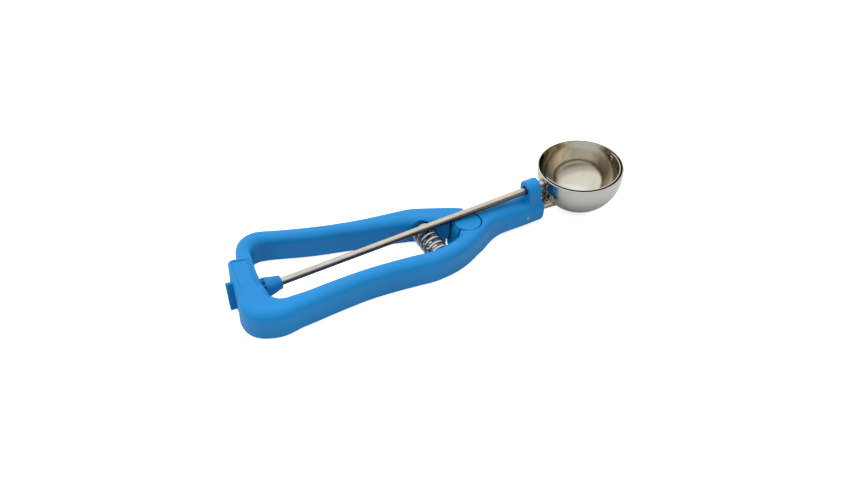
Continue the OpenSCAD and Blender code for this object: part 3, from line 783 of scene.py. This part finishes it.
def make_band():
    """Strip bent round the bowl's inside, wide in the middle, with a round tab at each end."""
    mid, t = BAND_R - BAND_T / 2, BAND_T / 2
    rows = []
    for d in np.linspace(-2.96, 0, 12):
        rows.append(("tab", -1, d))
    for a in np.linspace(0, math.pi, 130)[1:-1]:
        rows.append(("arc", 0, a))
    for d in np.linspace(0, -2.96, 12):
        rows.append(("tab", 1, d))
    verts, n = [], 0
    for kind, side, u in rows:
        if kind == "tab":
            hw = math.sqrt(max(9.0 - u * u, 0.02))
            c, nrm = np.array([side * mid, 0, -u]), np.array([side, 0, 0.0])
        else:
            depth = mid * math.sin(u)
            w = 3.0 + np.clip(depth / 2, 0, 1) * 0.4
            hw = min(BAND_W / 2, w)
            c, nrm = np.array([-mid * math.cos(u), 0, -mid * math.sin(u)]), np.array([-math.cos(u), 0, -math.sin(u)])
        rr = min(0.2, hw * 0.5)
        sec = []
        for cx, cz, a0 in ((hw - rr, t - rr, 0), (-hw + rr, t - rr, 90), (-hw + rr, -t + rr, 180), (hw - rr, -t + rr, 270)):
            for k in range(4):
                a = math.radians(a0 + 30 * k)
                sec.append((cx + rr * math.cos(a), cz + rr * math.sin(a)))
        for w_, r_ in sec:
            q = c + nrm * r_ + np.array([0, w_, 0])
            # turned about the rod's axis to its place at rest
            a = BAND_REST
            verts.append(from_bowl((q[0], math.cos(a) * q[1] - math.sin(a) * q[2], math.sin(a) * q[1] + math.cos(a) * q[2])))
        n = len(sec)
    faces = grid_faces(len(rows), n)
    faces.append(list(range(n)))
    faces.append(list(range(len(rows) * n - 1, len(rows) * n - n - 1, -1)))
    o = new_object("scraper_band_strip", verts, faces, 0)
    return fix_normals(o, 40)


band = make_band()


def make_shank():
    """Bar from inside the nose to the bowl's wall, its end cut to the ball."""
    seg, cols = 64, []
    xs = [6.2, 6.25, 6.4] + list(np.linspace(6.8, 22, 30)) + [None]
    rr = [2.9, 3.1, 3.24] + [3.3] * 30 + [3.3]
    cx, cz = HX + CT * REACH, ROD_Z + ST * REACH
    verts = []
    for x, r in zip(xs, rr):
        for j in range(seg):
            a = 2 * math.pi * j / seg
            y, z = r * math.cos(a), 7.6 + r * math.sin(a)
            if x is None:
                xx = cx - math.sqrt(max((BOWL_R + 0.02) ** 2 - y * y - (z - cz) ** 2, 0))
            else:
                xx = x
            verts.append((xx, y, z))
    faces = grid_faces(len(xs), seg)
    for k, base in ((0, 0), (1, (len(xs) - 1) * seg)):
        ring = [base + j for j in range(seg)]
        c = np.mean([verts[i] for i in ring], 0)
        if k:
            c[0] = cx - math.sqrt((BOWL_R + 0.02) ** 2 - (7.6 - cz) ** 2)
        verts.append(tuple(c))
        m = len(verts) - 1
        faces += [[ring[j], ring[(j + 1) % seg], m] for j in range(seg)]
    return fix_normals(new_object("shank_bar", verts, faces, 35), 35)


shank = make_shank()


def make_braze():
    """Uneven fillet of brazing metal where the shank meets the bowl."""
    seg, steps = 96, 10
    cx, cz = HX + CT * REACH, ROD_Z + ST * REACH
    verts = []
    for j in range(seg):
        a = 2 * math.pi * j / seg
        wave = 1 + 0.16 * math.sin(3 * a + 0.7) + 0.12 * math.sin(7 * a + 2.1) + 0.06 * math.sin(17 * a)
        up = 0.95 * wave
        out = 0.8 * (1 + 0.2 * math.sin(4 * a + 1.2) + 0.1 * math.sin(11 * a + 0.4))

        def on_ball(r, lift):
            y, z = r * math.cos(a), 7.6 + r * math.sin(a)
            R = BOWL_R + lift
            return (cx - math.sqrt(max(R * R - y * y - (z - cz) ** 2, 0)), y, z)
        base = on_ball(3.31, 0.03)
        row = []
        for k in range(steps + 1):
            t = k / steps
            # a hollow curve from the bar to the ball
            r = 3.31 + out * (1 - math.cos(t * math.pi / 2)) ** 1.15
            back = up * (1 - math.sin(t * math.pi / 2)) ** 1.15
            b = on_ball(r, 0.03)
            row.append((b[0] - back, b[1], b[2]))
        row.append(base)
        verts += row
    n = steps + 2
    faces = []
    for j in range(seg):
        k = (j + 1) % seg
        for i in range(n):
            m = (i + 1) % n
            faces.append([j * n + i, j * n + m, k * n + m, k * n + i])
    # drops of brazing metal that ran over the bowl's wall, between the bar and the rod
    nu, nv = 28, 14
    for bx, by, bz, br, ph in ((27.0, -1.3, 12.6, 1.5, 0.3), (26.3, -0.5, 14.6, 1.7, 1.9), (26.1, -1.7, 16.3, 1.25, 3.1),
                               (25.7, 0.2, 17.0, 1.4, 4.4), (25.5, -0.9, 18.3, 1.1, 5.2), (26.9, 0.9, 12.2, 1.3, 2.6),
                               (26.2, -2.9, 13.3, 0.95, 0.9), (25.9, -2.6, 17.7, 0.85, 3.8)):

        def lump(e, a):
            d = (math.cos(e) * math.cos(a), math.cos(e) * math.sin(a), math.sin(e))
            r = br * (1 + 0.10 * math.sin(2.1 * d[0] + 3.3 * d[2] + ph) + 0.09 * math.sin(4.2 * d[1] - 2.7 * d[2] + 2 * ph)
                      + 0.04 * math.sin(9 * d[0] + 7 * d[1] + ph))
            return (bx + r * d[0], by + r * d[1], bz + 1.15 * r * d[2])
        at = len(verts)
        for i in range(1, nv):
            verts += [lump(math.pi * i / nv - math.pi / 2, 2 * math.pi * j / nu) for j in range(nu)]
        verts += [lump(-math.pi / 2, 0), lump(math.pi / 2, 0)]
        low, high = len(verts) - 2, len(verts) - 1
        last = at + (nv - 2) * nu
        for j in range(nu):
            k = (j + 1) % nu
            faces.append([low, at + k, at + j])
            faces.append([high, last + j, last + k])
            for i in range(nv - 2):
                q = at + i * nu
                faces.append([q + j, q + k, q + nu + k, q + nu + j])
    return fix_normals(new_object("braze_fillet_metal", verts, faces, 60), 60)


braze = make_braze()
cross_pin = turned("shank_cross_pin", chamfered(-7.75, 7.75, 1.0, 0.22), lambda v: (11.8 + v[1], -v[0], 7.0 + v[2]), 40)
screw_profile = [[0.15, 1.45], [0.15, 3.1], [0.22, 3.3], [0.5, 3.82], [0.62, 3.9], [0.86, 3.9], [0.95, 3.8], [0.95, 2.4], [12.1, 2.4], [12.3, 2.2], [12.3, 0]]


def make_screw():
    """Hinge screw seen from below: a pan head with a hexagon socket."""
    seg = 60
    verts, rows = [], []
    for z, r in screw_profile:
        if r < 1e-6:
            rows.append([len(verts)])
            verts.append((HX, HY, z))
            continue
        rows.append(list(range(len(verts), len(verts) + seg)))
        for j in range(seg):
            a = 2 * math.pi * j / seg
            rad = r
            if r == 1.45:
                rad = 1.4 * math.cos(math.pi / 6) / math.cos((a % (math.pi / 3)) - math.pi / 6)
            verts.append((HX + rad * math.cos(a), HY + rad * math.sin(a), z))
    deep = []
    for j in range(seg):
        a = 2 * math.pi * j / seg
        rad = 1.4 * math.cos(math.pi / 6) / math.cos((a % (math.pi / 3)) - math.pi / 6)
        deep.append(len(verts))
        verts.append((HX + rad * math.cos(a), HY + rad * math.sin(a), 0.7))
    faces = []
    for a, b in zip(rows[:-1], rows[1:]):
        for j in range(seg):
            k = (j + 1) % seg
            faces.append([a[j], a[k], b[0]] if len(b) == 1 else [a[j], a[k], b[k], b[j]])
    for j in range(seg):
        k = (j + 1) % seg
        faces.append([rows[0][j], deep[j], deep[k], rows[0][k]])
    verts.append((HX, HY, 0.78))
    faces += [[deep[j], deep[(j + 1) % seg], len(verts) - 1] for j in range(seg)]
    return fix_normals(new_object("hinge_screw_steel", verts, faces, 30), 30)


screw = make_screw()
hinge_washer = turned("hinge_washer_steel", chamfered(0.98, 1.48, 4.2, 0.1, 2.46), lambda v: (HX + v[1], HY + v[2], v[0]), 48)


def make_spring():
    """Open coil with closed ends, wound as the CAD spring is."""
    c = SPRING
    wire, turns = c["wire"], c["turns"]
    seg, ring = ((56, 18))
    mid = (c["d"] - wire) / 2
    span = c["y1"] - c["y0"] - wire
    n = int(turns * seg)
    pitch = wire * 1.02
    verts = []

    def lead(t):
        if t < 0.75:
            return t * pitch
        if t > turns - 0.75:
            return span - (turns - t) * pitch
        return 0.75 * pitch + (t - 0.75) / (turns - 1.5) * (span - 1.5 * pitch)
    # the lead eases between the closed ends and the open coils
    ts = np.linspace(0, turns, n + 1)
    ld = np.array([lead(t) for t in ts])
    k = np.exp(-0.5 * (np.arange(-20, 21) / 7.0) ** 2)
    k /= k.sum()
    pad = np.pad(ld, 20, mode="reflect", reflect_type="odd")
    ld = np.convolve(pad, k, mode="valid")
    for i, t in enumerate(ts):
        a = 2 * math.pi * t
        edge = min(i, n - i)
        rr = wire / 2 * (0.8 if edge == 0 else 0.94 if edge == 1 else 1.0)
        for j in range(ring):
            b = 2 * math.pi * j / ring
            r = mid + rr * math.cos(b)
            h = wire / 2 + ld[i] + rr * math.sin(b)
            verts.append((c["x"] + r * math.cos(a), c["y0"] + h, c["z"] - r * math.sin(a) * (1 - 0.035 * max(0, -math.sin(a)))))
    faces = grid_faces(n + 1, ring)
    faces.append(list(range(ring)))
    faces.append(list(range(n * ring + ring - 1, n * ring - 1, -1)))
    return fix_normals(new_object("spring_coil", verts, faces, 50), 50)


spring = make_spring()


# ------------------------------------------------------------------ materials
def material(name):
    m = bpy.data.materials.new(name)
    m.use_nodes = True
    t = m.node_tree
    t.nodes.clear()
    out = t.nodes.new("ShaderNodeOutputMaterial")
    b = t.nodes.new("ShaderNodeBsdfPrincipled")
    t.links.new(b.outputs["BSDF"], out.inputs["Surface"])
    return m, t, b


def node(t, kind, **sockets):
    n = t.nodes.new(kind)
    for k, v in sockets.items():
        if k in n.inputs:
            n.inputs[k].default_value = v
        else:
            setattr(n, k, v)
    return n


def coords_mm(t, scale=(1000, 1000, 1000), rotation=(0, 0, 0)):
    c = t.nodes.new("ShaderNodeTexCoord")
    m = t.nodes.new("ShaderNodeMapping")
    m.inputs["Scale"].default_value = scale
    m.inputs["Rotation"].default_value = rotation
    t.links.new(c.outputs["Object"], m.inputs["Vector"])
    return m.outputs["Vector"]


def noise(t, vec, scale, detail=3.0, rough=0.55, distortion=0.0):
    n = node(t, "ShaderNodeTexNoise", Scale=scale, Detail=detail, Roughness=rough, Distortion=distortion)
    t.links.new(vec, n.inputs["Vector"])
    return n.outputs["Fac"]


def remap(t, value, a0, a1, b0, b1):
    n = node(t, "ShaderNodeMapRange")
    n.inputs["From Min"].default_value, n.inputs["From Max"].default_value = a0, a1
    n.inputs["To Min"].default_value, n.inputs["To Max"].default_value = b0, b1
    t.links.new(value, n.inputs["Value"])
    return n.outputs["Result"]


def ramp(t, value, stops):
    n = t.nodes.new("ShaderNodeValToRGB")
    e = n.color_ramp.elements
    while len(e) > 1:
        e.remove(e[-1])
    e[0].position, e[0].color = stops[0][0], (*stops[0][1], 1)
    for pos, col in stops[1:]:
        x = e.new(pos)
        x.color = (*col, 1)
    t.links.new(value, n.inputs["Fac"])
    return n.outputs["Color"]


def math_node(t, op, a, b=None):
    n = node(t, "ShaderNodeMath", operation=op)
    for i, v in enumerate((a, b)):
        if v is None:
            continue
        if isinstance(v, (int, float)):
            n.inputs[i].default_value = v
        else:
            t.links.new(v, n.inputs[i])
    return n.outputs["Value"]


def bump(t, height, strength, distance, chain=None):
    n = node(t, "ShaderNodeBump", Strength=strength, Distance=distance)
    t.links.new(height, n.inputs["Height"])
    if chain is not None:
        t.links.new(chain, n.inputs["Normal"])
    return n.outputs["Normal"]


def mixed(t, fac, a, b, kind="MIX"):
    n = t.nodes.new("ShaderNodeMix")
    n.data_type, n.blend_type = "RGBA", kind
    if isinstance(fac, (int, float)):
        n.inputs[0].default_value = fac
    else:
        t.links.new(fac, n.inputs[0])
    for i, v in ((6, a), (7, b)):
        if isinstance(v, tuple):
            n.inputs[i].default_value = (*v, 1)
        else:
            t.links.new(v, n.inputs[i])
    return n.outputs[2]


def lin(r, g, b):
    """sRGB 0-255 to linear."""
    return tuple((c / 255 / 12.92) if c <= 10.3 else ((c / 255 + 0.055) / 1.055) ** 2.4 for c in (r, g, b))


def blue_plastic(name, base, seed=0.0):
    m, t, b = material(name)
    vec = coords_mm(t)
    big = noise(t, vec, 0.035, 2, 0.5)
    flow = noise(t, vec, 0.16, 4, 0.6, 0.8)
    fine = noise(t, vec, 4.2, 3, 0.6)
    grain = noise(t, vec, 9.0, 2, 0.5)
    dark, light = tuple(c * 0.93 for c in base), tuple(min(c * 1.06, 1) for c in base)
    col = ramp(t, big, [(0.3, dark), (0.7, light)])
    col = mixed(t, remap(t, flow, 0.42, 0.7, 0.0, 0.10), col, tuple(min(c * 1.2, 1) for c in base))
    speck = remap(t, fine, 0.66, 0.78, 0.0, 0.12)
    col = mixed(t, speck, col, tuple(c * 0.6 for c in base))
    t.links.new(col, b.inputs["Base Color"])
    r = math_node(t, "ADD", remap(t, fine, 0.3, 0.7, 0.40, 0.47), remap(t, flow, 0.3, 0.7, -0.03, 0.04))
    # thin rubbing scratches along the arms
    sv = coords_mm(t, (90, 1500, 1500), (0, 0, 0.06))
    scr = noise(t, sv, 1.0, 2, 0.5, 0.3)
    r = math_node(t, "SUBTRACT", r, remap(t, scr, 0.64, 0.72, 0.0, 0.07))
    t.links.new(r, b.inputs["Roughness"])
    h = bump(t, grain, 0.10, 0.00003)
    h = bump(t, flow, 0.12, 0.00012, h)
    t.links.new(h, b.inputs["Normal"])
    b.inputs["IOR"].default_value = 1.49
    b.inputs["Specular IOR Level"].default_value = 0.3
    b.inputs["Subsurface Weight"].default_value = 0.0
    return m


def steel(name, base, rough, stretch=None, rotation=(0, 0, 0), streak=0.12, tint=None, bump_h=0.00001, spread=0.06):
    m, t, b = material(name)
    b.inputs["Metallic"].default_value = 1.0
    vec = coords_mm(t, stretch or (1000, 1000, 1000), rotation)
    lines = noise(t, vec, 1.0, 4, 0.65)
    plain = coords_mm(t)
    cloud = noise(t, plain, 0.12, 3, 0.55, 0.5)
    spots = noise(t, plain, 2.2, 3, 0.6)
    lo, hi = tuple(c * (1 - streak) for c in base), tuple(min(c * (1 + streak), 1) for c in base)
    col = ramp(t, lines, [(0.32, lo), (0.68, hi)])
    col = mixed(t, remap(t, cloud, 0.35, 0.75, 0.0, 0.35), col, tint or tuple(c * 0.86 for c in base))
    t.links.new(col, b.inputs["Base Color"])
    r = math_node(t, "ADD", remap(t, lines, 0.3, 0.7, rough - spread * 0.5, rough + spread * 0.5), remap(t, spots, 0.55, 0.8, 0.0, spread))
    t.links.new(r, b.inputs["Roughness"])
    t.links.new(bump(t, lines, 0.25, bump_h), b.inputs["Normal"])
    return m


def bowl_inside_painted_reflections(m):
    """Warm inside of the bowl, with painted reflection streaks that run up its wall and a painted darker and brighter
    side wall.
    """
    t = m.node_tree
    b = [n for n in t.nodes if n.type == "BSDF_PRINCIPLED"][0]
    c = t.nodes.new("ShaderNodeTexCoord")
    centre = (0.001 * (HX + CT * REACH), 0.0, 0.001 * (ROD_Z + ST * REACH))
    arm = node(t, "ShaderNodeVectorMath", operation="SUBTRACT")
    t.links.new(c.outputs["Object"], arm.inputs[0])
    arm.inputs[1].default_value = centre
    length = node(t, "ShaderNodeVectorMath", operation="LENGTH")
    t.links.new(arm.outputs["Vector"], length.inputs[0])
    inside = remap(t, length.outputs["Value"], 0.001 * (BOWL_R - 0.35), 0.001 * (BOWL_R - 0.45), 0.0, 1.0)
    sep = node(t, "ShaderNodeSeparateXYZ")
    t.links.new(arm.outputs["Vector"], sep.inputs["Vector"])
    x, y, z = sep.outputs["X"], sep.outputs["Y"], sep.outputs["Z"]
    flat = node(t, "ShaderNodeCombineXYZ")
    t.links.new(x, flat.inputs["X"])
    t.links.new(y, flat.inputs["Y"])
    out = node(t, "ShaderNodeVectorMath", operation="LENGTH")
    t.links.new(flat.outputs["Vector"], out.inputs[0])
    way = node(t, "ShaderNodeVectorMath", operation="NORMALIZE")
    t.links.new(flat.outputs["Vector"], way.inputs[0])
    place = node(t, "ShaderNodeCombineXYZ")
    ws = node(t, "ShaderNodeSeparateXYZ")
    t.links.new(way.outputs["Vector"], ws.inputs["Vector"])
    t.links.new(ws.outputs["X"], place.inputs["X"])
    t.links.new(ws.outputs["Y"], place.inputs["Y"])
    t.links.new(math_node(t, "MULTIPLY", z, 18.0), place.inputs["Z"])
    streak = noise(t, place.outputs["Vector"], 2.1, 1.2, 0.5, 0.15)
    # painted reflection streaks on the two side walls, seen across the middle of the bowl
    side = math_node(t, "ABSOLUTE", math_node(t, "SUBTRACT", math_node(t, "MULTIPLY", ws.outputs["X"], 0.75),
                                             math_node(t, "MULTIPLY", ws.outputs["Y"], 0.66)))
    amount = math_node(t, "MULTIPLY", remap(t, side, 0.45, 0.95, 0.05, 1.0),
                       remap(t, out.outputs["Value"], 0.0105, 0.0165, 0.0, 0.8))
    amount = math_node(t, "MULTIPLY", amount, inside)
    old = b.inputs["Base Color"].links[0].from_socket
    floor_tone = mixed(t, remap(t, out.outputs["Value"], 0.0095, 0.0135, 0.0, 1.0), (0.62, 0.625, 0.63), (0.52, 0.50, 0.43))
    warm = mixed(t, inside, old, floor_tone)
    # colours of the painted reflection streaks, from near black to bright
    lines = ramp(t, streak, [(0.30, (0.13, 0.11, 0.085)), (0.43, (0.42, 0.37, 0.29)), (0.52, (0.72, 0.56, 0.43)), (0.62, (0.46, 0.43, 0.36)), (0.72, (0.20, 0.18, 0.14))])
    col = mixed(t, amount, warm, lines)
    # painted reflection: the wall away from the handle's near side is painted darker, the one across from it brighter
    signed = math_node(t, "SUBTRACT", math_node(t, "MULTIPLY", ws.outputs["X"], 0.75), math_node(t, "MULTIPLY", ws.outputs["Y"], 0.66))
    wall = math_node(t, "MULTIPLY", remap(t, out.outputs["Value"], 0.0125, 0.0185, 0.0, 1.0), inside)
    col = mixed(t, math_node(t, "MULTIPLY", wall, remap(t, signed, -0.55, -0.95, 0.0, 0.55)), col, (0.20, 0.175, 0.14))
    col = mixed(t, math_node(t, "MULTIPLY", wall, remap(t, signed, 0.55, 0.95, 0.0, 0.40)), col, (0.80, 0.70, 0.55))
    t.links.new(col, b.inputs["Base Color"])


BLUE = (0.0005, 0.203, 0.530)
mat_blue = blue_plastic("satin_blue_moulding", BLUE)
# a darker copy of the satin blue for the stop block and the pinion: painted shade
mat_blue_painted_shade = blue_plastic("satin_blue_painted_shade", (0.0005, 0.180, 0.485))
# the rod's lines run along it; the mapping's turn lines the texture up with its tilt
mat_rod = steel("drawn_rod_steel", (0.53, 0.485, 0.41), 0.26, (26, 2600, 2600), (0, TILT, 0), 0.24, (0.38, 0.34, 0.28), 0.000012, 0.10)
mat_band = steel("polished_strip_steel", (0.54, 0.515, 0.45), 0.15, (300, 1500, 1500), (0, 0, 0), 0.06, (0.46, 0.43, 0.37), 0.000004, 0.03)
# darker steel for the far rivet; on the rod eyelet it is painted shade
mat_rivet = steel("rivet_steel", (0.36, 0.335, 0.285), 0.22, (900, 900, 900), (0, 0, 0), 0.10, (0.28, 0.26, 0.22), 0.000005, 0.05)
mat_bowl = steel("spun_bowl_steel", (0.56, 0.555, 0.53), 0.12, (700, 700, 2400), (0, 0, 0), 0.04, (0.50, 0.495, 0.465), 0.000004, 0.035)


def paint_shade_below(m, dark, top=0.55, low=-0.35, amount=0.9):
    """Painted shade that darkens a bar toward its underside."""
    t = m.node_tree
    b = [n for n in t.nodes if n.type == "BSDF_PRINCIPLED"][0]
    g = t.nodes.new("ShaderNodeNewGeometry")
    sep = node(t, "ShaderNodeSeparateXYZ")
    t.links.new(g.outputs["Normal"], sep.inputs["Vector"])
    old = b.inputs["Base Color"].links[0].from_socket
    t.links.new(mixed(t, remap(t, sep.outputs["Z"], top, low, 0.0, amount), old, dark), b.inputs["Base Color"])


# painted shade: the rod's colour darkens toward its underside
paint_shade_below(mat_rod, (0.075, 0.068, 0.064), 0.88, 0.12, 0.92)
bowl_inside_painted_reflections(mat_bowl)
mat_shank = steel("shank_steel", (0.62, 0.61, 0.58), 0.22, (40, 2200, 2200), (0, 0, 0), 0.05, (0.54, 0.53, 0.50), 0.000003, 0.04)
mat_spring = steel("spring_wire", (0.48, 0.475, 0.46), 0.13, (1500, 1500, 1500), (0, 0, 0), 0.12, (0.36, 0.35, 0.33), 0.000005, 0.05)
mat_screw = steel("screw_steel", (0.55, 0.54, 0.51), 0.26, (1400, 1400, 300), (0, 0, 0), 0.12, (0.42, 0.41, 0.38), 0.000008, 0.08)
mat_pin = steel("pin_steel", (0.56, 0.52, 0.44), 0.3, (1200, 1200, 1200), (0, 0, 0), 0.12, (0.46, 0.42, 0.35), 0.000008, 0.08)


def braze_metal():
    m, t, b = material("brazing_metal")
    b.inputs["Metallic"].default_value = 1.0
    vec = coords_mm(t)
    n1 = noise(t, vec, 1.3, 4, 0.6, 0.6)
    n2 = noise(t, vec, 5.0, 3, 0.6)
    col = ramp(t, n1, [(0.3, lin(150, 112, 52)), (0.5, lin(205, 170, 96)), (0.72, lin(236, 214, 158))])
    # painted shade: the drops above the fillet are painted near black, with bright spots as painted glints
    c = t.nodes.new("ShaderNodeTexCoord")
    sep = node(t, "ShaderNodeSeparateXYZ")
    t.links.new(c.outputs["Object"], sep.inputs["Vector"])
    painted_shade_drops = ramp(t, n1, [(0.38, (0.035, 0.03, 0.026)), (0.52, (0.16, 0.135, 0.10)), (0.62, (0.62, 0.56, 0.42))])
    col = mixed(t, remap(t, sep.outputs["Z"], 0.0105, 0.0118, 0.0, 1.0), col, painted_shade_drops)
    t.links.new(col, b.inputs["Base Color"])
    t.links.new(remap(t, n2, 0.3, 0.7, 0.2, 0.42), b.inputs["Roughness"])
    t.links.new(bump(t, n1, 0.3, 0.00006), b.inputs["Normal"])
    return m


mat_braze = braze_metal()

# ------------------------------------------------------------------ which piece rides on what
PIECES = [
    (fixed, "frame", ["fixed_handle"], "blue_plastic", mat_blue),
    (moving, "lever", ["moving_handle"], "blue_plastic", mat_blue),
    (stop, "frame", ["stop_block"], "blue_plastic", mat_blue_painted_shade),
    (pinion, "scraper", ["pinion"], "blue_plastic", mat_blue_painted_shade),
    (rod_pin, "scraper", ["pinion_pin"], "rod_steel", mat_pin),
    (rod, "scraper", ["scraper_rod"], "rod_steel", mat_rod),
    (band, "scraper", ["scraper_band"], "band_steel", mat_band),
    (near_rivet, "scraper", ["near_tab_rivet"], "band_steel", mat_band),
    (far_rivet, "frame", ["far_pivot_rivet"], "bowl_steel", mat_rivet),
    (washer, "frame", ["pivot_washer"], "band_steel", mat_band),
    # the eyelet's darker steel is painted shade
    (eyelet, "frame", ["rod_eyelet"], "bowl_steel", mat_rivet),
    (bowl, "frame", ["bowl"], "bowl_steel", mat_bowl),
    (shank, "frame", ["shank"], "bowl_steel", mat_shank),
    (braze, "frame", ["braze_fillet"], "braze", mat_braze),
    (cross_pin, "frame", ["shank_pin"], "rod_steel", mat_pin),
    (screw, "lever", ["hinge_screw"], "rod_steel", mat_screw),
    (hinge_washer, "frame", ["hinge_washer"], "rod_steel", mat_screw),
    (spring, "frame", ["spring"], "spring_steel", mat_spring),
]
for o, body, nodes, slot, mat in PIECES:
    o.data.materials.clear()
    o.data.materials.append(mat)
    if o is not spring:
        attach(o, body)
    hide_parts(*nodes)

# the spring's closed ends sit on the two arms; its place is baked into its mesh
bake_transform(spring)

# ------------------------------------------------------------------ floor, light and camera
sc = bpy.context.scene
sc.view_settings.view_transform = "Standard"
sc.view_settings.look = "None"


def make_floor():
    me = bpy.data.meshes.new("floor")
    n, R = 96, 2.6
    verts = [(0, 0, 0)] + [(R * math.cos(2 * math.pi * j / n), R * math.sin(2 * math.pi * j / n), 0) for j in range(n)]
    faces = [[0, 1 + j, 1 + (j + 1) % n] for j in range(n)]
    me.from_pydata([(x - 0.05, y, z) for x, y, z in verts], [], faces)
    o = bpy.data.objects.new("floor", me)
    bpy.context.scene.collection.objects.link(o)
    m, t, b = material("pale_floor")
    vec = coords_mm(t)
    n1 = noise(t, vec, 0.02, 2, 0.5)
    lp = t.nodes.new("ShaderNodeLightPath")
    pale = ramp(t, n1, [(0.3, (0.84, 0.84, 0.84)), (0.7, (0.86, 0.86, 0.86))])
    t.links.new(mixed(t, lp.outputs["Is Glossy Ray"], pale, (0.66, 0.665, 0.665)), b.inputs["Base Color"])
    b.inputs["Roughness"].default_value = 0.9
    b.inputs["Specular IOR Level"].default_value = 0.1
    b.inputs["Emission Color"].default_value = (1, 1, 1, 1)
    t.links.new(math_node(t, "MULTIPLY", lp.outputs["Is Camera Ray"], 0.72), b.inputs["Emission Strength"])
    me.materials.append(m)
    return o


make_floor()

world = bpy.data.worlds.new("studio")
sc.world = world
world.use_nodes = True
wt = world.node_tree
wt.nodes.clear()
w_out = wt.nodes.new("ShaderNodeOutputWorld")
w_dir = wt.nodes.new("ShaderNodeTexCoord")
w_sep = wt.nodes.new("ShaderNodeSeparateXYZ")
wt.links.new(w_dir.outputs["Generated"], w_sep.inputs[0])


def w_math(op, a, b):
    n = wt.nodes.new("ShaderNodeMath")
    n.operation = op
    for i, v in enumerate((a, b)):
        if isinstance(v, (int, float)):
            n.inputs[i].default_value = v
        else:
            wt.links.new(v, n.inputs[i])
    return n.outputs["Value"]


# a bright tent above and behind, and a darker room low down in front
w_s = w_math("ADD", w_sep.outputs["Z"], w_math("MULTIPLY", w_sep.outputs["Y"], 0.34))
w_s = w_math("ADD", w_s, w_math("MULTIPLY", w_sep.outputs["X"], -0.08))
w_map = wt.nodes.new("ShaderNodeMapRange")
w_map.inputs["From Min"].default_value, w_map.inputs["From Max"].default_value = -0.30, 0.95
wt.links.new(w_s, w_map.inputs["Value"])
w_ramp = wt.nodes.new("ShaderNodeValToRGB")
w_ramp.color_ramp.interpolation = "EASE"
wt.links.new(w_map.outputs["Result"], w_ramp.inputs["Fac"])
e = w_ramp.color_ramp.elements
e[0].position, e[0].color = 0.0, (0.10, 0.085, 0.07, 1)
e[1].position, e[1].color = 1.0, (0.98, 0.98, 0.97, 1)
for pos, col in ((0.28, (0.20, 0.17, 0.14)), (0.5, (0.56, 0.54, 0.52)), (0.72, (0.92, 0.92, 0.91))):
    x = e.new(pos)
    x.color = (*col, 1)
w_bg = wt.nodes.new("ShaderNodeBackground")
w_bg.inputs["Strength"].default_value = 1.35
wt.links.new(w_ramp.outputs["Color"], w_bg.inputs["Color"])
w_cam = wt.nodes.new("ShaderNodeBackground")
w_cam.inputs["Color"].default_value = (1, 1, 1, 1)
w_lp = wt.nodes.new("ShaderNodeLightPath")
w_mix = wt.nodes.new("ShaderNodeMixShader")
wt.links.new(w_lp.outputs["Is Camera Ray"], w_mix.inputs[0])
wt.links.new(w_bg.outputs[0], w_mix.inputs[1])
wt.links.new(w_cam.outputs[0], w_mix.inputs[2])
wt.links.new(w_mix.outputs[0], w_out.inputs["Surface"])


def sun(name, direction, strength, angle, color=(1, 1, 1)):
    d = bpy.data.lights.new(name, "SUN")
    d.energy, d.angle, d.color = strength, math.radians(angle), color
    o = bpy.data.objects.new(name, d)
    o.rotation_mode = "QUATERNION"
    o.rotation_quaternion = Vector(direction).to_track_quat("-Z", "Y")
    bpy.context.scene.collection.objects.link(o)
    o.visible_glossy = False
    return o


sun("overhead", (0.12, -0.30, -1), 0.9, 40)

cam_data = bpy.data.cameras.new("camera")
cam_data.lens, cam_data.sensor_width, cam_data.sensor_fit = 38.12, 36.0, "HORIZONTAL"
cam_data.clip_start, cam_data.clip_end = 0.01, 20
cam = bpy.data.objects.new("camera", cam_data)
sc.collection.objects.link(cam)
sc.camera = cam
R_, U_, F_ = (0.885892, -0.461885, 0.043103), (0.270924, 0.590568, 0.760150), (0.376557, 0.661734, -0.648315)
cam.matrix_world = Matrix([
    [R_[0], U_[0], -F_[0], -0.23513],
    [R_[1], U_[1], -F_[1], -0.32487],
    [R_[2], U_[2], -F_[2], 0.32624],
    [0, 0, 0, 1]])
